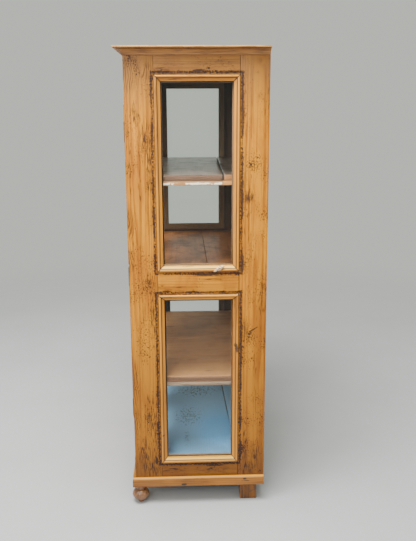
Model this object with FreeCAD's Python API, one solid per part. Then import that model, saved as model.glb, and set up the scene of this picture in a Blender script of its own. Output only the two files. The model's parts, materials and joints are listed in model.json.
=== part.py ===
"""Glazed pine pantry cabinet: panelled and glazed sides, two glazed doors, shelves, cornice, plinth and feet.

Millimetres, +Z up. X is the width, the doors face -Y, and the origin is the middle of the box on the floor.
"""
import FreeCAD
import Part
import os

V = FreeCAD.Vector

# ---- driving dimensions: the carcass ----
WIDTH = 980.0              # outside of one side frame to outside of the other
DEPTH = 551.0              # front plane to back plane
FRAME_HEIGHT = 1755.0      # length of the side stiles
SIDE_THICK = 28.0          # thickness of the side frames
SIDE_STILE = 113.0         # width of a side stile
SIDE_TOP_RAIL = 69.0
SIDE_BOTTOM_RAIL = 87.0
MID_RAIL = 95.0            # both the sides' and the doors' middle rails
MID_RAIL_UNDER = 938.0     # its underside above the floor
TENON_THICK = 9.0
TENON_LONG = 42.0
TENON_SHOULDER = 12.0

# ---- feet, base frame, plinth and the cove above it ----
FOOT_HEIGHT = 83.0
BASE_THICK = 20.0
BEARER_WIDTH = 70.0
BUN_RADIUS = 36.0
BUN_HALF_TALL = 30.0
BUN_PAD_RADIUS = 12.0
BUN_PAD_TALL = 9.0
BUN_NECK_RADIUS = 19.0
BUN_FROM_SIDE = 20.0       # foot axis in from the side's outer face
BUN_FROM_FRONT = 18.0      # foot axis behind the front plane
SPIGOT_RADIUS = 10.0
SPIGOT_LONG = 16.0
SPIGOT_FIT = 0.05
BLOCK_WIDTH = 75.0
BLOCK_FROM_SIDE = 12.0
BLOCK_FROM_BACK = 29.0
BLOCK_TAPER = 4.0
PLINTH_OUT = 13.0
PLINTH_TALL = 42.0
PLINTH_ROUND = 10.0
COVE_TALL = 96.0
COVE_OUT = 12.0
COVE_TOP_THICK = 2.0
COVE_FILLET = 6.0

# ---- cornice and top ----
CORNICE_OUT = 36.0
CORNICE_TALL = 32.0
CORNICE_SEAT = 14.0        # how far the cornice lies on top of the frames
CORNICE_FILLET = 6.0       # square edge at its top
CORNICE_STEP = 3.0         # small square member at its foot
TOP_THICK = 18.0

# ---- front frame and doors ----
FRONT_THICK = 24.0         # face frame and doors
FACE_STILE = 50.0
FRIEZE = 88.0
DOOR_SILL = 222.0          # top of the front base rail above the floor
DOOR_GAP = 2.5             # above and below each door
HINGE_GAP = 2.0            # between a door and the face stile
MEETING_GAP = 3.0          # between the two doors
HINGE_STILE = 60.0
MEETING_STILE = 52.0
DOOR_TOP_RAIL = 86.5
DOOR_BOTTOM_RAIL = 109.5
QUIRK_FROM_EDGE = 10.0     # bead run along the meeting edges
QUIRK_WIDE = 2.0
QUIRK_DEEP = 3.0

# ---- mouldings, panes and beads ----
MOULD_WIDTH = 23.5
MOULD_SEAT = 10.0          # depth of the moulding inside the frame
SIDE_MOULD_PROUD = 7.5
DOOR_MOULD_PROUD = 14.0
MOULD_ROUND = 11.0         # width of the outer round member
MOULD_STEP = 2.0
MOULD_LIP = 4.0            # thickness left at the sight edge
PANE_THICK = 3.0
PANE_CLEAR = 1.0
BEAD_REVEAL = 5.5          # how far the inner bead shows past the moulding
BEAD_SETBACK = 2.0
BEAD_CHAMFER = 4.0

# ---- shelves, floor of the cabinet and back ----
SHELF_THICK = 24.0
SHELF_TOPS = (572.0, 1022.0, 1414.0)
FLOOR_TOP = 205.0
SHELF_SETBACK = 24.0       # front edge behind the doors' inner face
CLEAT_TALL = 17.0
CLEAT_THICK = 20.0
CLEAT_FROM_SHELF_FRONT = 14.0
SEAM_OPEN = 2.5            # shrinkage gap between loose boards
SEAM_GLUED = 0.4
SEAM_CRACK = 1.2           # crack between the painted floor boards
UPPER_SEAM = (398.0, 376.0)    # behind the front plane, at the left and the right end
MIDDLE_SEAM = (318.0, 318.0)
FLOOR_SEAM = (412.0, 434.0)
LOWER_SEAMS = ((-275.0, -420.0), (50.0, -127.0), (262.0, 240.0))    # at the front and at the back edge
BACK_THICK = 12.0
BACK_REBATE = 14.0         # how far the back boards lap the back stiles
BACK_BOARDS = 6

# ---- hinges ----
HINGE_LONG = 75.0
HINGES_FROM_END = 190.0
KNUCKLES = 5
KNUCKLE_RADIUS = 4.5
KNUCKLE_CLEAR = 0.3
PIN_RADIUS = 2.5
PIN_FIT = 0.05
PIN_HEAD_RADIUS = 4.0
PIN_HEAD_TALL = 1.5
PIN_BALL_RADIUS = 3.2
PIN_BALL_AT = 3.5          # middle of the ball above the knuckle's end
LEAF_THICK = 1.6
LEAF_WIDTH = 18.0

# ---- lock, key and slide bolts ----
LOCK_HEIGHT = 985.5
LOCK_TALL = 68.0
LOCK_WIDTH = 45.0
LOCK_DEEP = 14.0
LOCK_WALL = 1.5
LOCK_INSET = 1.0           # from the meeting edge
KEY_FROM_EDGE = 24.0
KEYHOLE_RADIUS = 3.5
KEY_SLOT_WIDE = 3.0
KEY_SLOT_TALL = 11.0
KEY_SHANK_RADIUS = 2.5
KEY_OUT = 10.0             # shank outside the door
KEY_BOW_RADIUS = 9.0
KEY_BOW_WIRE = 2.0
KEY_BIT_TALL = 9.5
KEY_BIT_WIDE = 2.0
KEY_BIT_DEEP = 6.0
BOLT_TALL = 12.0
BOLT_DEEP = 8.0
BOLT_ABOVE_KEY = 11.5
SLIDE_CLEAR = 0.3
KEEPER_WIDTH = 16.0
KEEPER_LAP = 6.0           # keeper above and below the bolt
GUIDE_LONG = 7.0           # guide for the bolt's tail inside the case
GUIDE_LAP = 3.5
ESCUTCHEON = (24.0, 42.0, 1.2)     # wide, tall, thick
SLIDE_BAR = (10.0, 5.0, 80.0)      # wide, deep, long
SLIDE_FROM_EDGE = 26.0
SLIDE_REST = 3.5                   # bar's end inside the door's end
SLIDE_KNOB_RADIUS = 4.0
SLIDE_KNOB_LONG = 11.0
SLIDE_KNOB_ALONG = 0.6             # knob's place along the bar
GUIDE_PLATE = (26.0, 2.0, 86.0)    # wide, thick, long
GUIDE_STRAP_TALL = 8.0
GUIDE_STRAP_THICK = 2.0
GUIDE_FROM_TIP = 3.0
STAPLE_TALL = 13.0
STAPLE_WALL = 3.5
STAPLE_FROM_DOOR = 1.0

# ---- places worked out from the sizes above ----
HALF = WIDTH / 2
INSIDE = HALF - SIDE_THICK
BACK = (DEPTH + CORNICE_OUT) / 2
FRONT = BACK - DEPTH
BODY_FOOT = FOOT_HEIGHT + BASE_THICK
BODY_TOP = BODY_FOOT + FRAME_HEIGHT
BACK_INNER = BACK - BACK_THICK
DOOR_INNER = FRONT + FRONT_THICK
SHELF_FRONT = DOOR_INNER + SHELF_SETBACK
DOOR_SIDE = INSIDE - FACE_STILE
DOOR_HEAD = BODY_TOP - FRIEZE
DOOR_BOTTOM = DOOR_SILL + DOOR_GAP
DOOR_TOP = DOOR_HEAD - DOOR_GAP
DOOR_WIDTH = DOOR_SIDE - HINGE_GAP - MEETING_GAP / 2
KEY_X = MEETING_GAP / 2 + KEY_FROM_EDGE


def block(x0, x1, y0, y1, z0, z1):
    """A box between two opposite corners."""
    return Part.makeBox(x1 - x0, y1 - y0, z1 - z0, V(x0, y0, z0))


def outline(start, steps, place):
    """A flat face from a start point, lines (u, h) and arcs (u, h of a point on it, u, h of its end)."""
    edges = []
    here = place(*start)
    closed = steps if steps[-1][-2:] == start else steps + (start,)
    for step in closed:
        there = place(*step[-2:])
        if len(step) == 4:
            edges.append(Part.Arc(here, place(*step[:2]), there).toShape())
        else:
            edges.append(Part.LineSegment(here, there).toShape())
        here = there
    return Part.Face(Part.Wire(edges))


def plan(corners, z0, z1):
    """A board or wedge with the given outline seen from above."""
    face = outline(corners[0], tuple(corners[1:]), lambda x, y: V(x, y, z0))
    return face.extrude(V(0, 0, z1 - z0))


def mirrored(shape):
    """The same piece on the other side of the cabinet."""
    return shape.mirror(V(0, 0, 0), V(1, 0, 0))


def both(shapes):
    """The pieces and their mirror images."""
    return shapes + [mirrored(shape) for shape in shapes]


def stood(shape, origin, across, up, out):
    """Moves a piece made flat (x across, y up, z out) to where it stands in the cabinet."""
    turn = FreeCAD.Matrix(across.x, up.x, out.x, origin.x,
                          across.y, up.y, out.y, origin.y,
                          across.z, up.z, out.z, origin.z,
                          0, 0, 0, 1)
    moved = shape.copy()
    moved.Placement = FreeCAD.Placement(turn).multiply(shape.Placement)
    return moved


# ---- glazed frames: stiles, tenoned rails, mitred mouldings, panes and beads ----

def moulding_section(proud):
    """Planted moulding: a round outer member, a small step, and a hollow down to the sight edge."""
    step_at = MOULD_ROUND + MOULD_STEP / 2
    step_high = proud * 0.4
    lip = MOULD_LIP - MOULD_SEAT
    return ((0, 0.5), ((0, proud * 0.35), (MOULD_ROUND / 2, proud, MOULD_ROUND, step_high + MOULD_STEP),
            (MOULD_ROUND, step_high), (step_at, step_high),
            ((step_at + MOULD_WIDTH) / 2, (step_high + lip - MOULD_STEP) / 2, MOULD_WIDTH - MOULD_STEP, lip),
            (MOULD_WIDTH, lip), (MOULD_WIDTH, -MOULD_SEAT), (0, -MOULD_SEAT)))


def bead_section(thick):
    """Inner glazing bead, chamfered towards the room side."""
    wide = MOULD_WIDTH + BEAD_REVEAL
    front = -MOULD_SEAT - PANE_THICK
    back = front - thick
    return ((0, front), ((wide, front), (wide, back + BEAD_CHAMFER), (wide - BEAD_CHAMFER, back), (0, back)))


def mitred(wide, tall, section, section_width, deep):
    """Four mitred lengths of a section, round the inside of a wide by tall opening."""
    inner = section_width
    lengths = []
    corners = ((0, 0), (wide, 0), (wide, tall), (0, tall))
    for quarter, (x, y) in enumerate(corners):
        long = (wide, tall)[quarter % 2]
        face = outline(section[0], section[1], lambda u, h: V(0, u, h))
        wedge = plan(((0, 0), (long, 0), (long - inner, inner), (inner, inner)), -deep, deep)
        piece = face.extrude(V(long, 0, 0)).common(wedge).Solids[0]
        piece.rotate(V(0, 0, 0), V(0, 0, 1), 90 * quarter)
        piece.translate(V(x, y, 0))
        lengths.append(piece)
    return lengths


def moved_by(shapes, x, y):
    """The pieces moved in the plane of their frame."""
    for shape in shapes:
        shape.translate(V(x, y, 0))
    return shapes


def glazed_frame(wide, tall, thick, stiles, rails, proud):
    """A frame made flat: two stiles, three tenoned rails, and in each light a moulding, a pane and a bead.

    stiles are the two widths; rails are (underside, top) from the bottom up.
    """
    mortise_back = -(thick + TENON_THICK) / 2
    near = block(0, stiles[0], 0, tall, -thick, 0)
    far = block(wide - stiles[1], wide, 0, tall, -thick, 0)
    rail_solids = []
    for low, high in rails:
        tongue = block(stiles[0] - TENON_LONG, wide - stiles[1] + TENON_LONG, low + TENON_SHOULDER,
                       high - TENON_SHOULDER, mortise_back, mortise_back + TENON_THICK)
        near = near.cut(tongue)
        far = far.cut(tongue)
        rail = block(stiles[0], wide - stiles[1], low, high, -thick, 0)
        rail_solids.append(rail.fuse(tongue).removeSplitter())
    light = wide - stiles[0] - stiles[1]
    bead_thick = thick - MOULD_SEAT - PANE_THICK - BEAD_SETBACK
    pieces = {"mouldings": [], "panes": [], "beads": []}
    for (_, low), (high, _) in zip(rails, rails[1:]):
        light_tall = high - low
        mould = mitred(light, light_tall, moulding_section(proud), MOULD_WIDTH, thick)
        bead = mitred(light, light_tall, bead_section(bead_thick), MOULD_WIDTH + BEAD_REVEAL, thick)
        pane = block(PANE_CLEAR, light - PANE_CLEAR, PANE_CLEAR, light_tall - PANE_CLEAR,
                     -MOULD_SEAT - PANE_THICK, -MOULD_SEAT)
        pieces["mouldings"] += moved_by(mould, stiles[0], low)
        pieces["beads"] += moved_by(bead, stiles[0], low)
        pieces["panes"] += moved_by([pane], stiles[0], low)
    pieces.update(near_stile=[near], far_stile=[far], bottom_rail=[rail_solids[0]],
                  mid_rail=[rail_solids[1]], top_rail=[rail_solids[2]])
    return pieces


def right_side():
    """The right side frame, with the back stile rebated for the back boards."""
    rails = ((0, SIDE_BOTTOM_RAIL), (MID_RAIL_UNDER - BODY_FOOT, MID_RAIL_UNDER - BODY_FOOT + MID_RAIL),
             (FRAME_HEIGHT - SIDE_TOP_RAIL, FRAME_HEIGHT))
    frame = glazed_frame(DEPTH, FRAME_HEIGHT, SIDE_THICK, (SIDE_STILE, SIDE_STILE), rails, SIDE_MOULD_PROUD)
    origin = V(HALF, FRONT, BODY_FOOT)
    frame = {name: [stood(s, origin, V(0, 1, 0), V(0, 0, 1), V(1, 0, 0)) for s in shapes]
             for name, shapes in frame.items()}
    rebate = block(INSIDE, INSIDE + BACK_REBATE, BACK_INNER, BACK, BODY_FOOT, BODY_TOP)
    frame["far_stile"] = [frame["far_stile"][0].cut(rebate)]
    return frame


def right_door():
    """The right door's frame, with the bead on its meeting edge."""
    tall = DOOR_TOP - DOOR_BOTTOM
    middle = MID_RAIL_UNDER - DOOR_BOTTOM
    rails = ((0, DOOR_BOTTOM_RAIL), (middle, middle + MID_RAIL), (tall - DOOR_TOP_RAIL, tall))
    frame = glazed_frame(DOOR_WIDTH, tall, FRONT_THICK, (MEETING_STILE, HINGE_STILE), rails, DOOR_MOULD_PROUD)
    groove = block(QUIRK_FROM_EDGE, QUIRK_FROM_EDGE + QUIRK_WIDE, 0, tall, -QUIRK_DEEP, 0)
    frame["near_stile"] = [frame["near_stile"][0].cut(groove)]
    origin = V(MEETING_GAP / 2, FRONT, DOOR_BOTTOM)
    return {name: [stood(s, origin, V(1, 0, 0), V(0, 0, 1), V(0, -1, 0)) for s in shapes]
            for name, shapes in frame.items()}


# ---- hinges ----

HINGE_X = DOOR_SIDE - HINGE_GAP / 2
HINGE_Y = FRONT - KNUCKLE_RADIUS - KNUCKLE_CLEAR


def hinge_heights():
    """Middle of each of a door's three hinges."""
    low = DOOR_BOTTOM + HINGES_FROM_END
    high = DOOR_TOP - HINGES_FROM_END
    return (low, (low + high) / 2, high)


def leaf_plate(x0, z0):
    """The flat part of a leaf, which is also the shape of its recess."""
    return block(x0, x0 + LEAF_THICK, FRONT, FRONT + LEAF_WIDTH, z0, z0 + HINGE_LONG)


def hinge_leaf(x0, middle, knuckle_rows):
    """A leaf with its knuckles, bored for the pin."""
    foot = middle - HINGE_LONG / 2
    pitch = HINGE_LONG / KNUCKLES
    leaf = leaf_plate(x0, foot)
    for row in knuckle_rows:
        low = foot + row * pitch + KNUCKLE_CLEAR / 2
        tall = pitch - KNUCKLE_CLEAR
        leaf = leaf.fuse(Part.makeCylinder(KNUCKLE_RADIUS, tall, V(HINGE_X, HINGE_Y, low)))
        leaf = leaf.fuse(block(x0, x0 + LEAF_THICK, HINGE_Y, FRONT, low, low + tall))
    bore = Part.makeCylinder(PIN_RADIUS + PIN_FIT, HINGE_LONG, V(HINGE_X, HINGE_Y, foot))
    return leaf.cut(bore).removeSplitter()


def hinge_pin(middle):
    """Loose pin with a small ball at each end."""
    foot = middle - HINGE_LONG / 2
    top = foot + HINGE_LONG
    pin = Part.makeCylinder(PIN_RADIUS, HINGE_LONG, V(HINGE_X, HINGE_Y, foot))
    for seat, side in ((foot + KNUCKLE_CLEAR / 2, -1), (top - KNUCKLE_CLEAR / 2, 1)):
        head = Part.makeCylinder(PIN_HEAD_RADIUS, PIN_HEAD_TALL, V(HINGE_X, HINGE_Y, seat), V(0, 0, side))
        ball = Part.makeSphere(PIN_BALL_RADIUS, V(HINGE_X, HINGE_Y, seat + side * PIN_BALL_AT))
        pin = pin.fuse(head).fuse(ball)
    return pin.removeSplitter()


def hinges():
    """Frame leaves, door leaves and pins of the right door, and the two sets of recesses."""
    frame_x = DOOR_SIDE
    door_x = DOOR_SIDE - HINGE_GAP - LEAF_THICK
    heights = hinge_heights()
    return {"frame": [hinge_leaf(frame_x, z, range(0, KNUCKLES, 2)) for z in heights],
            "door": [hinge_leaf(door_x, z, range(1, KNUCKLES, 2)) for z in heights],
            "pins": [hinge_pin(z) for z in heights],
            "frame_recess": [leaf_plate(frame_x, z - HINGE_LONG / 2) for z in heights],
            "door_recess": [leaf_plate(door_x, z - HINGE_LONG / 2) for z in heights]}


def cut_all(shape, tools):
    """One solid less several tools."""
    for tool in tools:
        shape = shape.cut(tool)
    return shape


# ---- lock, key and slide bolts ----

def keyhole(y0, y1):
    """Round hole with a slot below it for the bit."""
    round_hole = Part.makeCylinder(KEYHOLE_RADIUS, y1 - y0, V(KEY_X, y0, LOCK_HEIGHT), V(0, 1, 0))
    half = KEY_SLOT_WIDE / 2
    slot = block(KEY_X - half, KEY_X + half, y0, y1, LOCK_HEIGHT - KEY_SLOT_TALL, LOCK_HEIGHT)
    return round_hole.fuse(slot).removeSplitter()


def bolt_box(x0, x1, grow):
    """The lock bolt's bar between two places across, grown for its slot."""
    low = LOCK_HEIGHT + BOLT_ABOVE_KEY
    deep0 = DOOR_INNER + (LOCK_DEEP - BOLT_DEEP) / 2
    return block(x0, x1, deep0 - grow, deep0 + BOLT_DEEP + grow, low - grow, low + BOLT_TALL + grow)


def lock_parts():
    """Lock case with its guides, bolt, keeper on the other door, key and escutcheon."""
    edge = MEETING_GAP / 2 + LOCK_INSET
    low = LOCK_HEIGHT - LOCK_TALL / 2
    high = LOCK_HEIGHT + LOCK_TALL / 2
    case = block(edge, edge + LOCK_WIDTH, DOOR_INNER, DOOR_INNER + LOCK_DEEP, low, high)
    case = case.cut(block(edge + LOCK_WALL, edge + LOCK_WIDTH - LOCK_WALL, DOOR_INNER,
                          DOOR_INNER + LOCK_DEEP - LOCK_WALL, low + LOCK_WALL, high - LOCK_WALL))
    tail = edge + LOCK_WIDTH - LOCK_WALL
    bolt_low = LOCK_HEIGHT + BOLT_ABOVE_KEY
    guide = block(tail - GUIDE_LONG, tail, DOOR_INNER, DOOR_INNER + LOCK_DEEP - LOCK_WALL,
                  bolt_low - GUIDE_LAP, bolt_low + BOLT_TALL + GUIDE_LAP)
    case = case.fuse(guide).cut(bolt_box(0, tail, SLIDE_CLEAR)).removeSplitter()
    bolt = bolt_box(edge + LOCK_WALL / 2, tail - SLIDE_CLEAR, 0)
    keeper = block(-edge - KEEPER_WIDTH, -edge, DOOR_INNER, DOOR_INNER + LOCK_DEEP,
                   bolt_low - KEEPER_LAP, bolt_low + BOLT_TALL + KEEPER_LAP)
    keeper = keeper.cut(bolt_box(LOCK_WALL - edge - KEEPER_WIDTH, 0, SLIDE_CLEAR))
    return {"case": case, "bolt": bolt, "keeper": keeper, "key": key(), "escutcheon": escutcheon()}


def key():
    """Key standing in the lock, its bit pointing down."""
    tip = DOOR_INNER + LOCK_DEEP - LOCK_WALL - SLIDE_CLEAR
    head = V(KEY_X, FRONT - KEY_OUT, LOCK_HEIGHT)
    shank = Part.makeCylinder(KEY_SHANK_RADIUS, tip - head.y, head, V(0, 1, 0))
    bow = Part.makeTorus(KEY_BOW_RADIUS, KEY_BOW_WIRE, head - V(0, KEY_BOW_RADIUS, 0), V(1, 0, 0))
    bit = block(KEY_X - KEY_BIT_WIDE / 2, KEY_X + KEY_BIT_WIDE / 2, tip - KEY_BIT_DEEP, tip,
                LOCK_HEIGHT - KEY_BIT_TALL, LOCK_HEIGHT)
    return shank.fuse(bow).fuse(bit).removeSplitter()


def escutcheon():
    """Plate round the keyhole, with rounded ends."""
    wide, tall, thick = ESCUTCHEON
    straight = (tall - wide) / 2
    face = outline((-wide / 2, -straight), ((-wide / 2, straight), (0, tall / 2, wide / 2, straight),
                   (wide / 2, -straight), (0, -tall / 2, -wide / 2, -straight)),
                   lambda u, h: V(KEY_X + u, FRONT, LOCK_HEIGHT + h))
    return face.extrude(V(0, -thick, 0)).cut(keyhole(FRONT - thick, FRONT))


def slide_bolt(end, inward):
    """Bar, guide and keeper of a slide bolt at one end of the left door; inward points back from that end."""
    wide, deep, long = SLIDE_BAR
    middle = -MEETING_GAP / 2 - SLIDE_FROM_EDGE
    tip = end + inward * SLIDE_REST
    bar_front = DOOR_INNER + GUIDE_PLATE[1] + SLIDE_CLEAR

    def lengths(near, far):
        return sorted((tip + inward * near, tip + inward * far))

    def about_bar(z_pair, side, back, front=bar_front):
        half = wide / 2 + side
        return block(middle - half, middle + half, front, bar_front + deep + back, *z_pair)

    def bar_slot(z_pair):
        return about_bar(z_pair, SLIDE_CLEAR, SLIDE_CLEAR, bar_front - SLIDE_CLEAR)

    knob_seat = V(middle, bar_front + deep / 2, tip + inward * long * SLIDE_KNOB_ALONG)
    knob = Part.makeCylinder(SLIDE_KNOB_RADIUS, SLIDE_KNOB_LONG, knob_seat, V(0, 1, 0))
    bar = about_bar(lengths(0, long), 0, 0).fuse(knob).removeSplitter()
    half_plate = GUIDE_PLATE[0] / 2
    guide = block(middle - half_plate, middle + half_plate, DOOR_INNER, DOOR_INNER + GUIDE_PLATE[1],
                  *lengths(GUIDE_FROM_TIP, GUIDE_FROM_TIP + GUIDE_PLATE[2]))
    wrap = SLIDE_CLEAR + GUIDE_STRAP_THICK
    for near in (2 * GUIDE_FROM_TIP, long - GUIDE_STRAP_TALL):
        guide = guide.fuse(about_bar(lengths(near, near + GUIDE_STRAP_TALL), wrap, wrap, DOOR_INNER))
    guide = guide.cut(bar_slot(lengths(-long, 2 * long))).removeSplitter()
    staple_near = DOOR_GAP + STAPLE_FROM_DOOR
    staple_at = sorted((end - inward * staple_near, end - inward * (staple_near + STAPLE_TALL)))
    staple = about_bar(staple_at, STAPLE_WALL, STAPLE_WALL, DOOR_INNER).cut(bar_slot(staple_at))
    return {"bar": bar, "guide": guide, "keeper": staple}


# ---- carcass ----

def front_frame():
    """Face stiles, frieze rail and base rail, the rails tenoned into the stiles."""
    stile = block(DOOR_SIDE, INSIDE, FRONT, DOOR_INNER, BODY_FOOT, BODY_TOP)
    tenon_front = FRONT + (FRONT_THICK - TENON_THICK) / 2
    rails = []
    for low, high in ((DOOR_HEAD, BODY_TOP), (BODY_FOOT, DOOR_SILL)):
        reach = DOOR_SIDE + FACE_STILE / 2
        tongue = block(-reach, reach, tenon_front, tenon_front + TENON_THICK,
                       low + TENON_SHOULDER, high - TENON_SHOULDER)
        stile = stile.cut(tongue)
        rails.append(block(-DOOR_SIDE, DOOR_SIDE, FRONT, DOOR_INNER, low, high).fuse(tongue).removeSplitter())
    return stile, rails[0], rails[1]


def surround(section, seat, reach, z0, z1):
    """A moulding run round the front and both ends of the cabinet, mitred at the front corners."""
    start, steps = section
    front = outline(start, steps, lambda u, h: V(-HALF - reach, FRONT - u, z0 + h))
    front = front.extrude(V(WIDTH + 2 * reach, 0, 0))
    front = front.common(plan(((-HALF - reach, FRONT - reach), (HALF + reach, FRONT - reach),
                               (HALF - seat, FRONT + seat), (seat - HALF, FRONT + seat)), z0, z1))
    end = outline(start, steps, lambda u, h: V(HALF + u, FRONT - reach, z0 + h))
    end = end.extrude(V(0, DEPTH + reach, 0))
    end = end.common(plan(((HALF - seat, FRONT + seat), (HALF + reach, FRONT - reach),
                           (HALF + reach, BACK), (HALF - seat, BACK)), z0, z1))
    return [front.Solids[0]] + both([end.Solids[0]])


def cornice():
    """Step, large hollow, small round and a square top edge."""
    hollow_end = CORNICE_OUT * 0.58
    round_end = CORNICE_TALL - CORNICE_FILLET
    section = ((-CORNICE_SEAT, 0), ((CORNICE_STEP, 0), (CORNICE_STEP, CORNICE_STEP),
               (CORNICE_OUT * 0.22, CORNICE_TALL * 0.42, hollow_end, round_end - 2 * CORNICE_STEP + 1),
               (hollow_end, round_end - CORNICE_STEP),
               (CORNICE_OUT * 0.8, round_end - CORNICE_STEP + 0.6, CORNICE_OUT - CORNICE_STEP, round_end),
               (CORNICE_OUT, round_end), (CORNICE_OUT, CORNICE_TALL), (-CORNICE_SEAT, CORNICE_TALL)))
    return surround(section, CORNICE_SEAT, CORNICE_OUT, BODY_TOP, BODY_TOP + CORNICE_TALL)


def plinth():
    """Base moulding with a rounded top edge."""
    turn = PLINTH_ROUND * (1 - 0.5 ** 0.5)
    flat = PLINTH_OUT - PLINTH_ROUND
    section = ((0, 0), ((PLINTH_OUT, 0), (PLINTH_OUT, PLINTH_TALL - PLINTH_ROUND),
               (PLINTH_OUT - turn, PLINTH_TALL - turn, flat, PLINTH_TALL), (0, PLINTH_TALL)))
    return surround(section, 0, PLINTH_OUT, FOOT_HEIGHT, FOOT_HEIGHT + PLINTH_TALL)


def base_cove():
    """Hollow moulding across the front, between the plinth and the doors."""
    low = FOOT_HEIGHT + PLINTH_TALL
    section = ((0, 0), ((COVE_OUT, 0), (COVE_OUT, COVE_FILLET),
               (COVE_TOP_THICK + COVE_OUT * 0.2, COVE_TALL * 0.45, COVE_TOP_THICK, COVE_TALL - COVE_FILLET),
               (COVE_TOP_THICK, COVE_TALL), (0, COVE_TALL)))
    face = outline(section[0], section[1], lambda u, h: V(-HALF, FRONT - u, low + h))
    return face.extrude(V(WIDTH, 0, 0))


def base_frame(spigots):
    """Four flat bearers that carry the carcass, bored for the feet."""
    front = block(-HALF, HALF, FRONT, FRONT + BEARER_WIDTH, FOOT_HEIGHT, BODY_FOOT)
    back = block(-HALF, HALF, BACK - BEARER_WIDTH, BACK, FOOT_HEIGHT, BODY_FOOT)
    end = block(HALF - BEARER_WIDTH, HALF, FRONT + BEARER_WIDTH, BACK - BEARER_WIDTH, FOOT_HEIGHT, BODY_FOOT)
    return [cut_all(front, spigots), back] + both([end])


def bun_foot():
    """Turned foot: a pad, a flattened ball, a neck and a spigot, on its own axis."""
    ball_mid = BUN_PAD_TALL - 2 + BUN_HALF_TALL
    neck_at = ball_mid + BUN_HALF_TALL * (1 - (BUN_NECK_RADIUS / BUN_RADIUS) ** 2) ** 0.5
    pad_at = ball_mid - BUN_HALF_TALL * (1 - (BUN_PAD_RADIUS / BUN_RADIUS) ** 2) ** 0.5
    half_rise = BUN_HALF_TALL * 0.7071
    half_out = BUN_RADIUS * 0.7071
    edges = []
    points = (V(0, 0, 0), V(BUN_PAD_RADIUS, 0, 0), V(BUN_PAD_RADIUS, 0, pad_at))
    for here, there in zip(points, points[1:]):
        edges.append(Part.LineSegment(here, there).toShape())
    ball_points = (points[-1], V(half_out, 0, ball_mid - half_rise), V(BUN_RADIUS, 0, ball_mid),
                   V(half_out, 0, ball_mid + half_rise), V(BUN_NECK_RADIUS, 0, neck_at))
    curve = Part.BSplineCurve()
    curve.interpolate(list(ball_points))
    edges.append(curve.toShape())
    points = (ball_points[-1], V(BUN_NECK_RADIUS, 0, FOOT_HEIGHT), V(SPIGOT_RADIUS, 0, FOOT_HEIGHT),
              V(SPIGOT_RADIUS, 0, FOOT_HEIGHT + SPIGOT_LONG), V(0, 0, FOOT_HEIGHT + SPIGOT_LONG), V(0, 0, 0))
    for here, there in zip(points, points[1:]):
        edges.append(Part.LineSegment(here, there).toShape())
    foot = Part.Face(Part.Wire(edges)).revolve(V(0, 0, 0), V(0, 0, 1), 360)
    foot.translate(V(HALF - BUN_FROM_SIDE, FRONT + BUN_FROM_FRONT, 0))
    return foot


def block_foot():
    """Square foot, a little narrower at the floor on its inner faces."""
    x1 = HALF - BLOCK_FROM_SIDE
    y1 = BACK - BLOCK_FROM_BACK
    x0 = x1 - BLOCK_WIDTH
    y0 = y1 - BLOCK_WIDTH

    def square(inset, z):
        return Part.makePolygon([V(x0 + inset, y0 + inset, z), V(x1, y0 + inset, z), V(x1, y1, z),
                                 V(x0 + inset, y1, z), V(x0 + inset, y0 + inset, z)])
    return Part.makeLoft([square(BLOCK_TAPER, 0), square(0, FOOT_HEIGHT)], True, True)


def shelf(top, seam, gap, front):
    """A shelf of two boards along the width, parted by a seam given at its left and right ends."""
    left, right = (FRONT + place for place in seam)
    low = top - SHELF_THICK
    half = gap / 2
    near = ((-INSIDE, front), (INSIDE, front), (INSIDE, right - half), (-INSIDE, left - half))
    far = ((-INSIDE, left + half), (INSIDE, right + half), (INSIDE, BACK_INNER), (-INSIDE, BACK_INNER))
    return [plan(near, low, top), plan(far, low, top)]


def lower_shelf(top):
    """A shelf of glued boards that run from front to back."""
    half = SEAM_GLUED / 2
    end = INSIDE + half
    seams = ((-end, -end),) + LOWER_SEAMS + ((end, end),)
    boards = []
    for (front0, back0), (front1, back1) in zip(seams, seams[1:]):
        corners = ((front0 + half, SHELF_FRONT), (front1 - half, SHELF_FRONT),
                   (back1 - half, BACK_INNER), (back0 + half, BACK_INNER))
        boards.append(plan(corners, top - SHELF_THICK, top))
    return boards


def cleats():
    """A batten under each end of every shelf and of the floor."""
    ends = []
    for top in (FLOOR_TOP,) + SHELF_TOPS:
        high = top - SHELF_THICK
        ends.append(block(INSIDE - CLEAT_THICK, INSIDE, SHELF_FRONT + CLEAT_FROM_SHELF_FRONT, BACK_INNER,
                          high - CLEAT_TALL, high))
    return both(ends)


def back_boards():
    """Upright boards in the rebates of the back stiles."""
    left = -INSIDE - BACK_REBATE
    pitch = -2 * left / BACK_BOARDS
    half = SEAM_GLUED / 2
    edges = [left + i * pitch for i in range(BACK_BOARDS + 1)]
    return [block(x0 + half, x1 - half, BACK_INNER, BACK, BODY_FOOT, BODY_TOP)
            for x0, x1 in zip(edges, edges[1:])]


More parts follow.
